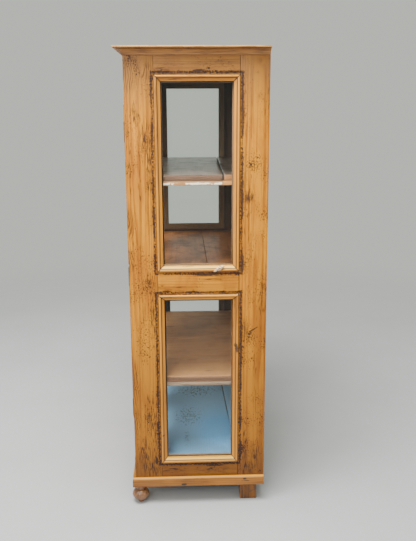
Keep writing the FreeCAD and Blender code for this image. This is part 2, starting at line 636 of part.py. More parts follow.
def build():
    """Every node with its solids."""
    nodes = {}
    side = right_side()
    names = {"near_stile": "front_stile", "far_stile": "back_stile", "top_rail": "top_rail",
             "mid_rail": "mid_rail", "bottom_rail": "bottom_rail", "mouldings": "side_mouldings"}
    for piece, name in names.items():
        nodes["right_" + name] = side[piece]
        nodes["left_" + name] = [mirrored(s) for s in side[piece]]
    nodes["side_panes"] = both(side["panes"])
    nodes["side_beads"] = both(side["beads"])

    hinge = hinges()
    stile, frieze, base_rail = front_frame()
    stile = cut_all(stile, hinge["frame_recess"])
    nodes["right_face_stile"] = [stile]
    nodes["left_face_stile"] = [mirrored(stile)]
    nodes["frieze_rail"] = [frieze]
    nodes["front_base_rail"] = [base_rail]

    door = right_door()
    door["far_stile"] = [cut_all(door["far_stile"][0], hinge["door_recess"])]
    names = {"far_stile": "hinge_stile", "near_stile": "meeting_stile"}
    for piece, solids in door.items():
        name = names.get(piece, piece)
        nodes["right_door_" + name] = solids
        nodes["left_door_" + name] = [mirrored(s) for s in solids]
    for name in ("right_door_meeting_stile", "right_door_mid_rail"):
        nodes[name] = [nodes[name][0].cut(keyhole(FRONT, DOOR_INNER))]
    nodes["hinge_frame_leaves"] = both(hinge["frame"])
    nodes["hinge_pins"] = both(hinge["pins"])
    nodes["right_hinge_leaves"] = hinge["door"]
    nodes["left_hinge_leaves"] = [mirrored(s) for s in hinge["door"]]

    lock = lock_parts()
    nodes["lock_case"] = [lock["case"]]
    nodes["lock_bolt"] = [lock["bolt"]]
    nodes["lock_keeper"] = [lock["keeper"]]
    nodes["key"] = [lock["key"]]
    nodes["escutcheon"] = [lock["escutcheon"]]
    slides = {"top": slide_bolt(DOOR_TOP, -1), "bottom": slide_bolt(DOOR_BOTTOM, 1)}
    for place, slide in slides.items():
        nodes[place + "_slide_bolt"] = [slide["bar"]]
    nodes["slide_bolt_guides"] = [slide["guide"] for slide in slides.values()]
    nodes["slide_bolt_keepers"] = [slide["keeper"] for slide in slides.values()]

    foot = bun_foot()
    socket = Part.makeCylinder(SPIGOT_RADIUS + SPIGOT_FIT, SPIGOT_LONG + 1,
                               V(HALF - BUN_FROM_SIDE, FRONT + BUN_FROM_FRONT, FOOT_HEIGHT))
    nodes["bun_feet"] = both([foot])
    nodes["block_feet"] = both([block_foot()])
    nodes["base_frame"] = base_frame(both([socket]))
    nodes["plinth"] = plinth()
    nodes["base_cove"] = [base_cove()]
    nodes["cornice"] = cornice()
    nodes["top_board"] = [block(CORNICE_SEAT - HALF, HALF - CORNICE_SEAT, FRONT + CORNICE_SEAT, BACK,
                                BODY_TOP, BODY_TOP + TOP_THICK)]
    nodes["back_boards"] = back_boards()
    nodes["shelf_cleats"] = cleats()
    nodes["floor_boards"] = shelf(FLOOR_TOP, FLOOR_SEAM, SEAM_CRACK, DOOR_INNER)
    nodes["lower_shelf"] = lower_shelf(SHELF_TOPS[0])
    nodes["middle_shelf"] = shelf(SHELF_TOPS[1], MIDDLE_SEAM, SEAM_GLUED, SHELF_FRONT)
    nodes["upper_shelf"] = shelf(SHELF_TOPS[2], UPPER_SEAM, SEAM_OPEN, SHELF_FRONT)
    return nodes


os.makedirs("parts", exist_ok=True)
all_nodes = build()
for node, solids in all_nodes.items():
    Part.makeCompound(solids).exportStep("parts/%s.step" % node)
print("%d nodes, %d solids" % (len(all_nodes), sum(len(solids) for solids in all_nodes.values())))
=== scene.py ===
import json
import math

import bpy
from mathutils import Euler, Matrix, Vector

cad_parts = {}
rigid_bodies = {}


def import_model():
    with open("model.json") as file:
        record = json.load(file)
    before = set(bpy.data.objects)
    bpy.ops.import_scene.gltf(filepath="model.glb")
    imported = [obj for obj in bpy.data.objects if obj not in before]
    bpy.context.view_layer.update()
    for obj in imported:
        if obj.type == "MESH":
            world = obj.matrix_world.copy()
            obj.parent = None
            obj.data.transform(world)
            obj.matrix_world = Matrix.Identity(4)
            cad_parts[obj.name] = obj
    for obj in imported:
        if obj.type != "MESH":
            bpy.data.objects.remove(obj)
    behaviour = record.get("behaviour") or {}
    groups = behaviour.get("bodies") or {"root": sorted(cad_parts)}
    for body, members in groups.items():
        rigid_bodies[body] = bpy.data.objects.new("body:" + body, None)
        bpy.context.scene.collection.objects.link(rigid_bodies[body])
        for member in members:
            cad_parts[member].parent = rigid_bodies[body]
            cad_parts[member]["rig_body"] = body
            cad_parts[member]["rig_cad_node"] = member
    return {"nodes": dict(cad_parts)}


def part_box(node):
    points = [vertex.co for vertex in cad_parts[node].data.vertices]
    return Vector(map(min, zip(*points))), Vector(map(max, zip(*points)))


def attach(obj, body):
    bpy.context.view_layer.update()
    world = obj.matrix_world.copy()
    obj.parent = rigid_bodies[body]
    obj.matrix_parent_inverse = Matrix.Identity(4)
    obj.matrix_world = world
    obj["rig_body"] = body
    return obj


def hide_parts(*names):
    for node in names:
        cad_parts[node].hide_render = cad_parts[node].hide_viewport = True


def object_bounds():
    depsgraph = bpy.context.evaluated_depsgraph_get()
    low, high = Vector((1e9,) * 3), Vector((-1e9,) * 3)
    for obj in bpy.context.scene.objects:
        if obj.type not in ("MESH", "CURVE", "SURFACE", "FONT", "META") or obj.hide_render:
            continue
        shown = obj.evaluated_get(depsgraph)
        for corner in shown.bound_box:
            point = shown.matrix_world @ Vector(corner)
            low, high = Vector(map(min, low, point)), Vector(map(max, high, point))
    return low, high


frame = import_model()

cad_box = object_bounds()
cabinet_back = cad_box[1][1]

# Camera. It stands about two and a half metres from the glazed right end, at eye height,
# and looks a little down along the cabinet's length.
PITCH_DOWN = 0.2427
TURN_TO_BACK = 0.039
LEAN = -0.004
bpy.ops.object.camera_add(location=(3.0796, -0.0448, 1.6784))
camera = bpy.context.object
aim = Euler((math.pi / 2 - PITCH_DOWN, 0, math.pi / 2 - TURN_TO_BACK)).to_matrix()
camera.rotation_euler = (aim @ Matrix.Rotation(LEAN, 3, "Z")).to_euler()
camera.data.sensor_width = 36.0
camera.data.lens = 44.48
bpy.context.scene.camera = camera

# Floor and light. A plain pale floor that fades into the pale room, a large soft lamp high on
# the door side, a weaker one on the back side, a wide one overhead and one beyond the right end.
FLOOR_PALE = (0.45, 0.455, 0.455)
ROOM_PALE = (0.62, 0.64, 0.585)
FADE_FROM = 1.7
FADE_TO = 4.6
# Each lamp is its place, its size and its watts.
LAMPS = (((2.6, -2.9, 2.9), 2.0, 48), ((2.4, 3.1, 2.2), 2.0, 12), ((1.0, -0.5, 4.1), 2.0, 350),
         ((3.9, -1.1, 2.5), 1.2, 62))
LAMPS_AIM = (0, 0, 0.95)


class Value:
    """One number of a finish, as an output of its shader tree. Sums on it add Math nodes."""

    def __init__(self, finish, socket):
        self.finish = finish
        self.socket = socket

    def part(self, output):
        return Value(self.finish, self.socket.node.outputs[output])

    def __add__(self, other):
        return self.finish.math("ADD", self, other)

    def __sub__(self, other):
        return self.finish.math("SUBTRACT", self, other)

    def __rsub__(self, other):
        return self.finish.math("SUBTRACT", other, self)

    def __mul__(self, other):
        return self.finish.math("MULTIPLY", self, other)

    def __truediv__(self, other):
        return self.finish.math("DIVIDE", self, other)

    def __rtruediv__(self, other):
        return self.finish.math("DIVIDE", other, self)

    def __abs__(self):
        return self.finish.math("ABSOLUTE", self)

    __radd__ = __add__
    __rmul__ = __mul__


class Finish:
    """A finish in the making: its shader tree, and the colour, roughness and relief it ends in."""

    def __init__(self, name, **constants):
        self.material = bpy.data.materials.new(name)
        self.material.use_nodes = True
        self.tree = self.material.node_tree
        self.shader = self.tree.nodes["Principled BSDF"]
        for socket, value in constants.items():
            self.shader.inputs[socket.replace("_", " ")].default_value = value
        place = self.node("ShaderNodeTexCoord", output="Object")
        self.x = self.node("ShaderNodeSeparateXYZ", inputs={0: place})
        self.y = self.x.part(1)
        self.z = self.x.part(2)

    def node(self, kind, settings=(), inputs=(), output=0):
        """A node of a kind, its settings made first, then the values or links of its sockets."""
        made = self.tree.nodes.new(kind)
        for name, value in dict(settings).items():
            setattr(made, name, value)
        for name, value in dict(inputs).items():
            if isinstance(value, Value):
                self.tree.links.new(value.socket, made.inputs[name])
            elif isinstance(value, tuple) and made.inputs[name].type == "RGBA":
                made.inputs[name].default_value = (*value, 1)
            else:
                made.inputs[name].default_value = value
        return Value(self, made.outputs[output])

    def math(self, operation, *values):
        return self.node("ShaderNodeMath", {"operation": operation}, dict(enumerate(values)))

    def least(self, *values):
        lowest = values[0]
        for value in values[1:]:
            lowest = self.math("MINIMUM", lowest, value)
        return lowest

    def most(self, *values):
        highest = values[0]
        for value in values[1:]:
            highest = self.math("MAXIMUM", highest, value)
        return highest

    def rise(self, value, low, high):
        """0 below low, 1 above high, and smooth between."""
        return self.node("ShaderNodeMapRange", {"interpolation_type": "SMOOTHSTEP"},
                         {"Value": value, "From Min": low, "From Max": high})

    def fall(self, value, low, high):
        return 1 - self.rise(value, low, high)

    def band(self, value, middle, half, soft):
        """1 within half of middle, falling to 0 over soft more."""
        return self.fall(abs(value - middle), half, half + soft)

    def vector(self, x, y, z):
        return self.node("ShaderNodeCombineXYZ", inputs={0: x, 1: y, 2: z})

    def noise(self, x, y, z, detail=2.0, roughness=0.5):
        return self.node("ShaderNodeTexNoise", inputs={
            "Vector": self.vector(x, y, z), "Scale": 1.0, "Detail": detail, "Roughness": roughness})

    def mix(self, share, colour, other):
        return self.node("ShaderNodeMix", {"data_type": "RGBA"}, {0: share, 6: colour, 7: other}, output=2)

    def paint(self, share, colour):
        """Lays a colour over what is there."""
        self.colour = self.mix(share, self.colour, colour)

    def mix_number(self, share, value, other):
        return self.node("ShaderNodeMix", {"data_type": "FLOAT"}, {0: share, 2: value, 3: other})

    def facing_up(self):
        """1 where the surface faces up, 0 where it stands."""
        normal = self.node("ShaderNodeNewGeometry", output="Normal")
        return self.rise(self.node("ShaderNodeSeparateXYZ", inputs={0: normal}, output=2), 0.25, 0.75)

    def blot(self, ragged, across, up, at, high, wide, tall, lean=0.0):
        """1 in a rough-edged oval."""
        right = (across - at) / wide
        above = (up - high - (across - at) * lean) / tall
        return self.fall(right * right + above * above + (ragged - 0.5) * 3.0, 0.35, 1.0)

    def flecks(self, dashes, across, up, at, high, wide, tall, lean=0.0):
        """1 in fine dashes gathered in an oval."""
        right = (across - at) / wide
        above = (up - high - (across - at) * lean) / tall
        return self.rise(dashes + (1 - right * right - above * above) * 0.10, 0.57, 0.64)

    def pine(self, order, pith, pale, dark, knots=(), ring=0.0030, bend=0.013, tilt=0.004, shift=0.0,
             axes=None, figure=1.0):
        """Sawn pine; order gives the axes across its face, through it and along its grain."""
        across, depth, along = axes or (getattr(self, axis) for axis in order)
        wander = self.noise(across * 12, depth * 12, along * 0.9 + shift, detail=1.5) - 0.5
        waver = self.noise(across * 40, depth * 40, along * 7 + shift, detail=2) - 0.5
        off = across - pith[0] + along * tilt
        deep = depth - pith[1]
        rings = self.math("SQRT", off * off + deep * deep) + wander * bend + waver * 0.0022
        cores = 0.0
        halos = 0.0
        for at, up, wide, tall, *core in knots:
            right = (across - at) / wide
            above = (along - up) / tall
            spread = right * right + above * above
            near = 1 / (1 + spread)
            rings = rings + near * 0.0085
            cores = cores + self.fall(spread + waver * 2.5, 0.25, 1.25) * (core[0] if core else 0.6)
            halos = halos + near * near
        wave = self.math("FRACT", rings / ring + shift)
        late = self.rise(wave, 0.35, 0.84) * self.fall(wave, 0.90, 1.0)
        fibre = self.noise(across * 520, depth * 520, along * 11 + shift, detail=2.5, roughness=0.6)
        tone = self.noise(across * 17, depth * 17, along * 2.4 + shift * 3, detail=3, roughness=0.55)
        streak = self.noise(across * 105, depth * 105, along * 2.6 - shift * 2, detail=3, roughness=0.65)
        dashes = self.noise(across * 210, depth * 210, along * 22 - shift, detail=2)
        fleck = self.rise(dashes, 0.57, 0.64) * self.rise(streak * 0.6 + tone * 0.5, 0.55, 0.68)
        self.late = late
        self.fibre = fibre
        self.tone = tone
        self.colour = self.mix(late * (0.25 + 0.6 * self.rise(tone, 0.35, 0.65)) * figure, pale, dark)
        self.paint(self.rise(tone, 0.45, 0.72) * 0.55, dark)
        self.paint(self.rise(streak, 0.50, 0.68) * 0.60 * figure, darker(dark, 0.58))
        self.paint(self.rise(fibre, 0.45, 0.85) * 0.30, darker(dark, 0.62))
        self.paint(fleck * 0.80 * figure, darker(dark, 0.16))
        if knots:
            self.paint(halos * 0.45, darker(dark, 0.60))
            self.paint(cores * self.rise(streak + waver, 0.30, 0.55), darker(dark, 0.16))
        self.rough = 0.44 - late * 0.10 + fibre * 0.14
        self.height = late * 0.5 + fibre * 0.45 - fleck * 0.5
        return self

    def settle(self, relief=0.0005):
        """Links the colour, roughness and relief to the shader, and gives back the material."""
        for name, value in (("Base Color", self.colour), ("Roughness", self.rough)):
            socket = self.shader.inputs[name]
            if isinstance(value, Value):
                self.tree.links.new(value.socket, socket)
            else:
                socket.default_value = (*value, 1) if name == "Base Color" else value
        bump = self.node("ShaderNodeBump",
                         inputs={"Strength": 0.8, "Distance": relief, "Height": self.height})
        self.tree.links.new(bump.socket, self.shader.inputs["Normal"])
        return self.material


def darker(colour, share):
    return tuple(share * c for c in colour)


bpy.ops.object.select_all(action="DESELECT")
bpy.ops.mesh.primitive_circle_add(vertices=96, radius=6.0, fill_type="NGON")
floor = bpy.context.object
floor.name = "floor"
ground = Finish("pale_floor")
out_from_middle = ground.math("SQRT", ground.x * ground.x + ground.y * ground.y)
scuff = ground.noise(ground.x * 2.2, ground.y * 2.2, 0.0, detail=5, roughness=0.6)
ground.colour = ground.mix(ground.rise(scuff, 0.3, 0.8) * 0.35, FLOOR_PALE, darker(FLOOR_PALE, 0.80))
ground.rough = 0.55 + scuff * 0.2
ground.height = scuff
ground.settle(0.0004)
clear = ground.node("ShaderNodeBsdfTransparent")
fade = ground.node("ShaderNodeMixShader", inputs={
    0: ground.rise(out_from_middle, FADE_FROM, FADE_TO),
    1: Value(ground, ground.shader.outputs[0]), 2: clear})
ground.tree.links.new(fade.socket, ground.tree.nodes["Material Output"].inputs["Surface"])
floor.data.materials.append(ground.material)

room = bpy.data.worlds.new("pale_room")
bpy.context.scene.world = room
room.use_nodes = True
room.node_tree.nodes["Background"].inputs["Color"].default_value = (*ROOM_PALE, 1)
room.node_tree.nodes["Background"].inputs["Strength"].default_value = 1.0
for place, size, watts in LAMPS:
    turn = (Vector(LAMPS_AIM) - Vector(place)).to_track_quat("-Z", "Y")
    bpy.ops.object.light_add(type="AREA", location=place, rotation=turn.to_euler())
    lamp = bpy.context.object.data
    lamp.size = size
    lamp.energy = watts


# Side frames. Each end of the cabinet is a waxed pine frame of two stiles and three rails,
# tenoned together and stripped long ago, so that dark varnish still clings beside the mouldings.
SIDE_FACE = 0.490
SIDE_INNER = 0.462
LIGHTS_Y = (-0.1445, 0.1805)
UPPER_LIGHT_Z = (1.033, 1.789)
LOWER_LIGHT_Z = (0.190, 0.938)
OLD_WAX = ((0.68, 0.265, 0.008), (0.37, 0.112, 0.004))
VARNISH_AND_SHADE = (0.016, 0.009, 0.011)
AGED_AND_SHADED_INSIDE = (0.060, 0.025, 0.015)
REDDENED = (0.34, 0.092, 0.007)
LOW_BROWN_AND_SHADE = (0.19, 0.064, 0.010)
LOW_SHADE = (0.07, 0.026, 0.009)
TOP_BROWN_AND_SHADE = (0.17, 0.085, 0.036)
CURL_BROWN = (0.09, 0.030, 0.007)
# Each knot is its place across the board and up, half its width and height, and how dark it is.
SIDE_KNOTS = {
    "front_stile": ((-0.210, 1.840, 0.010, 0.015, 0.35), (-0.165, 1.820, 0.008, 0.009, 0.6),
                    (-0.252, 1.800, 0.008, 0.035, 0.0), (-0.125, 1.8546, 0.004, 0.004, 0.7),
                    (-0.254, 1.236, 0.012, 0.020, 0.0), (-0.256, 1.100, 0.012, 0.022, 0.0),
                    (-0.252, 0.560, 0.012, 0.035, 0.0), (-0.250, 0.410, 0.010, 0.030, 0.0),
                    (-0.228, 1.210, 0.002, 0.003, 0.6)),
    "back_stile": ((0.2565, 1.838, 0.009, 0.012, 0.35), (0.246, 1.797, 0.003, 0.004, 0.7),
                   (0.253, 1.7105, 0.005, 0.007, 0.5), (0.271, 1.1704, 0.004, 0.003, 0.8),
                   (0.237, 0.660, 0.004, 0.005, 0.6), (0.240, 0.250, 0.010, 0.030, 0.1)),
    "top_rail": ((0.033, 1.806, 0.009, 0.006, 0.5), (0.062, 1.811, 0.006, 0.004, 0.7)),
    "mid_rail": ((-0.128, 0.975, 0.004, 0.003, 0.7),),
    "bottom_rail": ((0.090, 0.150, 0.009, 0.005, 0.5),),
}
# Where fine dark dashes gather: place, half width and half height.
FLECKED = {
    "front_stile": ((-0.182, 1.545, 0.030, 0.090), (-0.166, 1.440, 0.016, 0.110),
                    (-0.215, 1.640, 0.020, 0.050), (-0.165, 0.850, 0.018, 0.120),
                    (-0.176, 1.000, 0.024, 0.050), (-0.190, 0.410, 0.022, 0.110),
                    (-0.168, 0.330, 0.014, 0.140), (-0.215, 0.240, 0.030, 0.090),
                    (-0.180, 0.170, 0.040, 0.050)),
    "back_stile": ((0.205, 0.780, 0.018, 0.050), (0.215, 1.330, 0.026, 0.070),
                   (0.210, 0.250, 0.016, 0.110), (0.255, 0.220, 0.018, 0.070),
                   (0.270, 0.900, 0.010, 0.080), (0.225, 0.150, 0.040, 0.040)),
    "top_rail": ((-0.060, 1.8235, 0.050, 0.0030), (0.075, 1.8260, 0.060, 0.0030),
                 (-0.110, 1.8130, 0.020, 0.0080)),
    "mid_rail": ((0.060, 1.0000, 0.060, 0.0030), (-0.060, 0.9700, 0.050, 0.0030)),
    "bottom_rail": ((-0.080, 0.158, 0.060, 0.0120), (0.080, 0.150, 0.080, 0.0150)),
}
# Single rough-edged marks: place, half width and height, and lean.
SIDE_MARKS = {
    "front_stile": ((-0.166, 0.200, 0.007, 0.020, 0.0),),
    "back_stile": ((0.237, 0.7830, 0.025, 0.0044, 0.60), (0.226, 0.7690, 0.012, 0.0060, 0.2),
                   (0.194, 0.7130, 0.013, 0.0085, -0.4)),
    "top_rail": ((0.026, 1.804, 0.026, 0.006, 0.05), (0.062, 1.812, 0.007, 0.005, 0.0)),
    "mid_rail": ((-0.108, 0.9525, 0.026, 0.0050, 0.0), (0.045, 1.0205, 0.058, 0.0070, 0.0)),
    "bottom_rail": ((0.085, 0.172, 0.050, 0.0040, 0.02),),
}
# Curled figure round old branches: place, half width and height.
CURLS = ((-0.235, 1.790, 0.050, 0.075), (-0.250, 1.225, 0.026, 0.070), (-0.252, 1.080, 0.020, 0.060),
         (-0.250, 0.560, 0.022, 0.130), (-0.246, 0.390, 0.020, 0.070), (-0.170, 1.800, 0.030, 0.040))
SIDE_BOARDS = {"front_stile": ("yxz", (-0.205, 0.42)), "back_stile": ("yxz", (0.250, 0.40)),
               "top_rail": ("zxy", (1.80, 0.43)), "mid_rail": ("zxy", (0.95, 0.42)),
               "bottom_rail": ("zxy", (0.16, 0.44))}


def outside(finish, across, span, span_z):
    """Distance out from an opening in a face, in metres; negative inside it."""
    beside = finish.most(span[0] - across, across - span[1])
    above = finish.most(span_z[0] - finish.z, finish.z - span_z[1])
    return finish.most(beside, above)


def clinging_varnish(wood, gap):
    """1 in the broken line of old varnish a finger's breadth outside the mouldings."""
    ragged = wood.noise(wood.y * 200, wood.x * 200, wood.z * 115, detail=3, roughness=0.7)
    patchy = wood.noise(wood.y * 12, wood.x * 12 + 4, wood.z * 10, detail=2)
    drift = 0.0090 + (patchy - 0.5) * 0.008
    line = wood.fall(abs(gap - drift), 0.0010, 0.0088)
    crumbs = wood.noise(wood.y * 330, wood.x * 330, wood.z * 210, detail=2, roughness=0.6)
    broken = (ragged - 0.5) * 3.2 + (patchy - 0.5) * 2.3 + (crumbs - 0.5) * 1.8
    cling = wood.rise(line + broken, 0.52, 0.62)
    return cling * wood.rise(gap, -0.001, 0.0005) * (0.80 + 0.2 * wood.rise(crumbs, 0.45, 0.60))


def side_pine(name, order, pith, knots, flecked, marks):
    """Waxed pine of an end frame, darker low down and under the cornice, partly from browner wood and
    partly from painted shade, with painted shade by the plinth and aged wood darkened by painted shade
    inside.
    """
    wood = Finish(name, Specular_IOR_Level=0.25)
    upright = order[2] == "z"
    placed = tuple((at, up, wide, tall, *core) if upright else (up, at, tall, wide, *core)
                   for at, up, wide, tall, *core in knots)
    wood.pine(order, pith, *OLD_WAX, knots=placed, shift=pith[0] * 11, ring=0.0055, bend=0.022)
    blotch = wood.noise(wood.y * 14, wood.x * 14 + pith[0], wood.z * 4.5, detail=3, roughness=0.6)
    wood.paint(wood.rise(blotch, 0.46, 0.66) * 0.40, REDDENED)
    # Darker and browner towards the bottom: partly the wood's own colour, partly painted shade.
    wood.paint(wood.fall(wood.z, 0.15, 1.20) * 0.62, LOW_BROWN_AND_SHADE)
    # Painted shade along the bottom, next to the plinth.
    wood.paint(wood.fall(wood.z, 0.16, 0.30) * 0.50, LOW_SHADE)
    # Darker and greyer towards the top: partly the wood's own colour, partly painted shade under the
    # cornice.
    wood.paint(wood.rise(wood.z, 1.58, 1.86) * 0.66, TOP_BROWN_AND_SHADE)
    gap = wood.least(*(outside(wood, wood.y, LIGHTS_Y, span) for span in (UPPER_LIGHT_Z, LOWER_LIGHT_Z)))
    cling = clinging_varnish(wood, gap)
    coarse = wood.noise(wood.y * 60, wood.x * 60, wood.z * 60, detail=4, roughness=0.7)
    for mark in marks:
        cling = wood.most(cling, wood.blot(coarse, wood.y, wood.z, *mark) * 0.85)
    stretch = (330, 26) if upright else (26, 330)
    dashes = wood.noise(wood.y * stretch[0], wood.x * 90, wood.z * stretch[1], detail=3, roughness=0.6)
    for gathered in flecked:
        cling = wood.most(cling, wood.flecks(dashes, wood.y, wood.z, *gathered) * 0.84)
    wood.paint(cling * 0.99, VARNISH_AND_SHADE)
    wood.paint(wood.band(gap, 0.0006, 0.0008, 0.0016) * 0.6, VARNISH_AND_SHADE)
    for at, high, wide, tall in CURLS if "front_stile" in name else ():
        curl = wood.noise(wood.y * 22, wood.x * 22, wood.z * 9 + 7 * high, detail=2)
        wave = wood.math("FRACT", (wood.y + (curl - 0.5) * 0.050) / 0.0085)
        right = (wood.y - at) / wide
        above = (wood.z - high) / tall
        within = wood.fall(right * right + above * above, 0.3, 1.1)
        wood.paint(wood.band(wave, 0.5, 0.10, 0.16) * within * 0.72, CURL_BROWN)
    for seam, dirt in ((LIGHTS_Y[0], 0.5), (LIGHTS_Y[1], 0.85)):
        wood.paint(wood.band(wood.y, seam, 0.0005, 0.0011) * dirt, VARNISH_AND_SHADE)
    # The inner faces are darkened: partly aged wood, partly painted shade inside the cabinet.
    inner = wood.fall(abs(wood.x), SIDE_INNER + 0.0004, SIDE_INNER + 0.0016)
    aged_and_shaded = wood.mix(wood.rise(wood.tone, 0.35, 0.65), AGED_AND_SHADED_INSIDE, darker(AGED_AND_SHADED_INSIDE, 0.3))
    wood.paint(inner * 0.96, aged_and_shaded)
    wood.rough = wood.rough + cling * 0.2 + inner * 0.2
    wood.height = wood.height + cling * 0.8
    return wood.settle()


def worked(node, material, ease=0.0011, wander=0.0005, cut=0.024, axes="xyz"):
    """A copy of a CAD solid, its arrises eased and slightly uneven as on old planed wood.

    It is cut across every so often along the axes, and wanders inwards between the cuts.
    """
    bpy.ops.object.select_all(action="DESELECT")
    source = frame["nodes"][node]
    source.select_set(True)
    bpy.context.view_layer.objects.active = source
    bpy.ops.object.duplicate()
    piece = bpy.context.object
    body = piece["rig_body"]
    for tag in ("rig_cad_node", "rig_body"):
        del piece[tag]
    piece.parent = None
    piece.name = node + "_worked"
    bpy.ops.object.mode_set(mode="EDIT")
    bpy.ops.mesh.select_all(action="SELECT")
    bpy.ops.mesh.remove_doubles(threshold=0.00002)
    bpy.ops.mesh.customdata_custom_splitnormals_clear()
    bpy.ops.mesh.dissolve_limited(angle_limit=math.radians(0.6))
    bpy.ops.object.mode_set(mode="OBJECT")
    bevel = piece.modifiers.new("eased", "BEVEL")
    bevel.width = ease
    bevel.segments = 2
    bevel.limit_method = "ANGLE"
    bevel.angle_limit = math.radians(35)
    bevel.use_clamp_overlap = True
    bpy.ops.object.modifier_apply(modifier="eased")
    low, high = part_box(node)
    if wander:
        bpy.ops.object.mode_set(mode="EDIT")
        for i, axis in enumerate("xyz"):
            if axis not in axes:
                continue
            count = int((high[i] - low[i]) / cut)
            normal = tuple(float(i == j) for j in range(3))
            for n in range(1, count):
                at = low[i] + (high[i] - low[i]) * n / count
                bpy.ops.mesh.select_all(action="SELECT")
                bpy.ops.mesh.bisect(plane_co=tuple(at * k for k in normal), plane_no=normal)
        bpy.ops.object.mode_set(mode="OBJECT")
        worn = bpy.data.textures.get("worn_edges") or bpy.data.textures.new("worn_edges", "CLOUDS")
        worn.noise_scale = 0.05
        push = piece.modifiers.new("uneven", "DISPLACE")
        push.texture = worn
        push.texture_coords = "LOCAL"
        push.mid_level = 1.0
        push.strength = wander
        bpy.ops.object.modifier_apply(modifier="uneven")
    for point in piece.data.vertices:
        point.co = [min(max(at, low[i]), high[i]) for i, at in enumerate(point.co)]
    bpy.ops.object.shade_smooth_by_angle(angle=math.radians(40))
    piece.data.materials.clear()
    piece.data.materials.append(material)
    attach(piece, body)
    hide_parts(node)
    return piece


for board, (order, pith) in SIDE_BOARDS.items():
    finish = side_pine("waxed_" + board, order, pith,
                       SIDE_KNOTS[board], FLECKED[board], SIDE_MARKS[board])
    for side in ("right_", "left_"):
        worked(side + board, finish, axes=order[2])

# Side mouldings. Planed pine mouldings, mitred round each pane and pinned, with the mitres a
# little open and painted shade in the groove between the round and the slope.
PAINTED_TOP_HIGHLIGHT = (1.0, 0.56, 0.02)
MOULD_QUIRK = 0.0118
MOULD_WAX = ((0.74, 0.290, 0.018), (0.45, 0.148, 0.009))


def moulding_pine(name, span, spans_z, flat_axis, marks=()):
    """Grain runs along each member; the mitres and the outer edge hold dirt, the groove holds painted
    shade, and faces turned up get a painted highlight.
    """
    wood = Finish(name, Specular_IOR_Level=0.5)
    flat = getattr(wood, flat_axis)
    inset_flat = wood.least(flat - span[0], span[1] - flat)
    inset_z = wood.most(*(wood.least(wood.z - low, high - wood.z) for low, high in spans_z))
    upright = wood.rise(inset_z - inset_flat, -0.0002, 0.0002)
    across = wood.mix_number(upright, wood.z, flat)
    along = wood.mix_number(upright, flat, wood.z)
    depth = wood.x if flat_axis == "y" else wood.y
    wood.pine(None, (0.3, 0.1), *MOULD_WAX, ring=0.0034, axes=(across, depth, along))
    profile = wood.least(inset_flat, inset_z)
    ragged = wood.noise(wood.x * 130, wood.y * 130, wood.z * 130, detail=2)
    # Painted highlight on the faces of the moulding that turn up.
    wood.paint(wood.facing_up() * wood.rise(profile, 0.0012, 0.0030) * 0.85, PAINTED_TOP_HIGHLIGHT)
    # Painted shade in the groove between the round and the slope.
    wood.paint(wood.band(profile, MOULD_QUIRK, 0.0010, 0.0014) * 0.88, VARNISH_AND_SHADE)
    wood.paint(wood.fall(profile, 0.0006, 0.0022) * wood.rise(ragged, 0.34, 0.46) * 0.90, VARNISH_AND_SHADE)
    wood.paint(wood.band(inset_z - inset_flat, 0.0, 0.0013, 0.0016) * 0.94, VARNISH_AND_SHADE)
    wood.paint(wood.fall(wood.z, 0.30, 0.98) * 0.30, (0.24, 0.085, 0.012))
    for mark in marks:
        wood.paint(wood.blot(ragged, flat, wood.z, *mark) * 0.85, VARNISH_AND_SHADE)
    return wood


MOULD_MARKS = ((0.171, 0.710, 0.011, 0.020, -0.9), (-0.133, 0.320, 0.007, 0.004, 0.0),
               (-0.020, 1.054, 0.030, 0.001, 0.0))
BARE_WOOD = (0.92, 0.66, 0.42)
TORN_DARK = (0.06, 0.030, 0.026)
moulded = moulding_pine("side_moulding_pine", LIGHTS_Y, (UPPER_LIGHT_Z, LOWER_LIGHT_Z), "y", MOULD_MARKS)
# A chip torn from the sill of the upper light at the right-hand end, bare wood showing.
chip_middle = (0.4975, 0.100, 1.0440)
raw = moulded.blot(moulded.fibre, moulded.y, moulded.z, *chip_middle[1:], 0.025, 0.0095, 0.60)
raw = raw * moulded.rise(moulded.x, 0.40, 0.45)
torn = moulded.noise(moulded.y * 90, moulded.x * 90, moulded.z * 330, detail=2)
moulded.paint(raw * 0.95, moulded.mix(moulded.rise(torn, 0.47, 0.53), TORN_DARK, BARE_WOOD))
moulded.settle()
for side in ("right_", "left_"):
    trim = worked(side + "side_mouldings", moulded.material,
                  ease=0.0005, wander=0.0004, axes="yz")
    if side == "right_":
        bpy.ops.mesh.primitive_ico_sphere_add(subdivisions=3, radius=1.0, location=chip_middle,
                                              rotation=(0.45, 0, 0))
        gouge = bpy.context.object
        gouge.scale = (0.0060, 0.0240, 0.0058)
        lumps = gouge.modifiers.new("splintered", "DISPLACE")
        lumps.texture = bpy.data.textures.new("splinters", "CLOUDS")
        lumps.texture.noise_scale = 0.35
        lumps.strength = 0.5
        take = trim.modifiers.new("chip", "BOOLEAN")
        take.object = gouge
        take.solver = "EXACT"
        bpy.ops.object.select_all(action="DESELECT")
        bpy.context.view_layer.objects.active = trim
        bpy.ops.object.modifier_apply(modifier="chip")
        bpy.data.objects.remove(gouge)

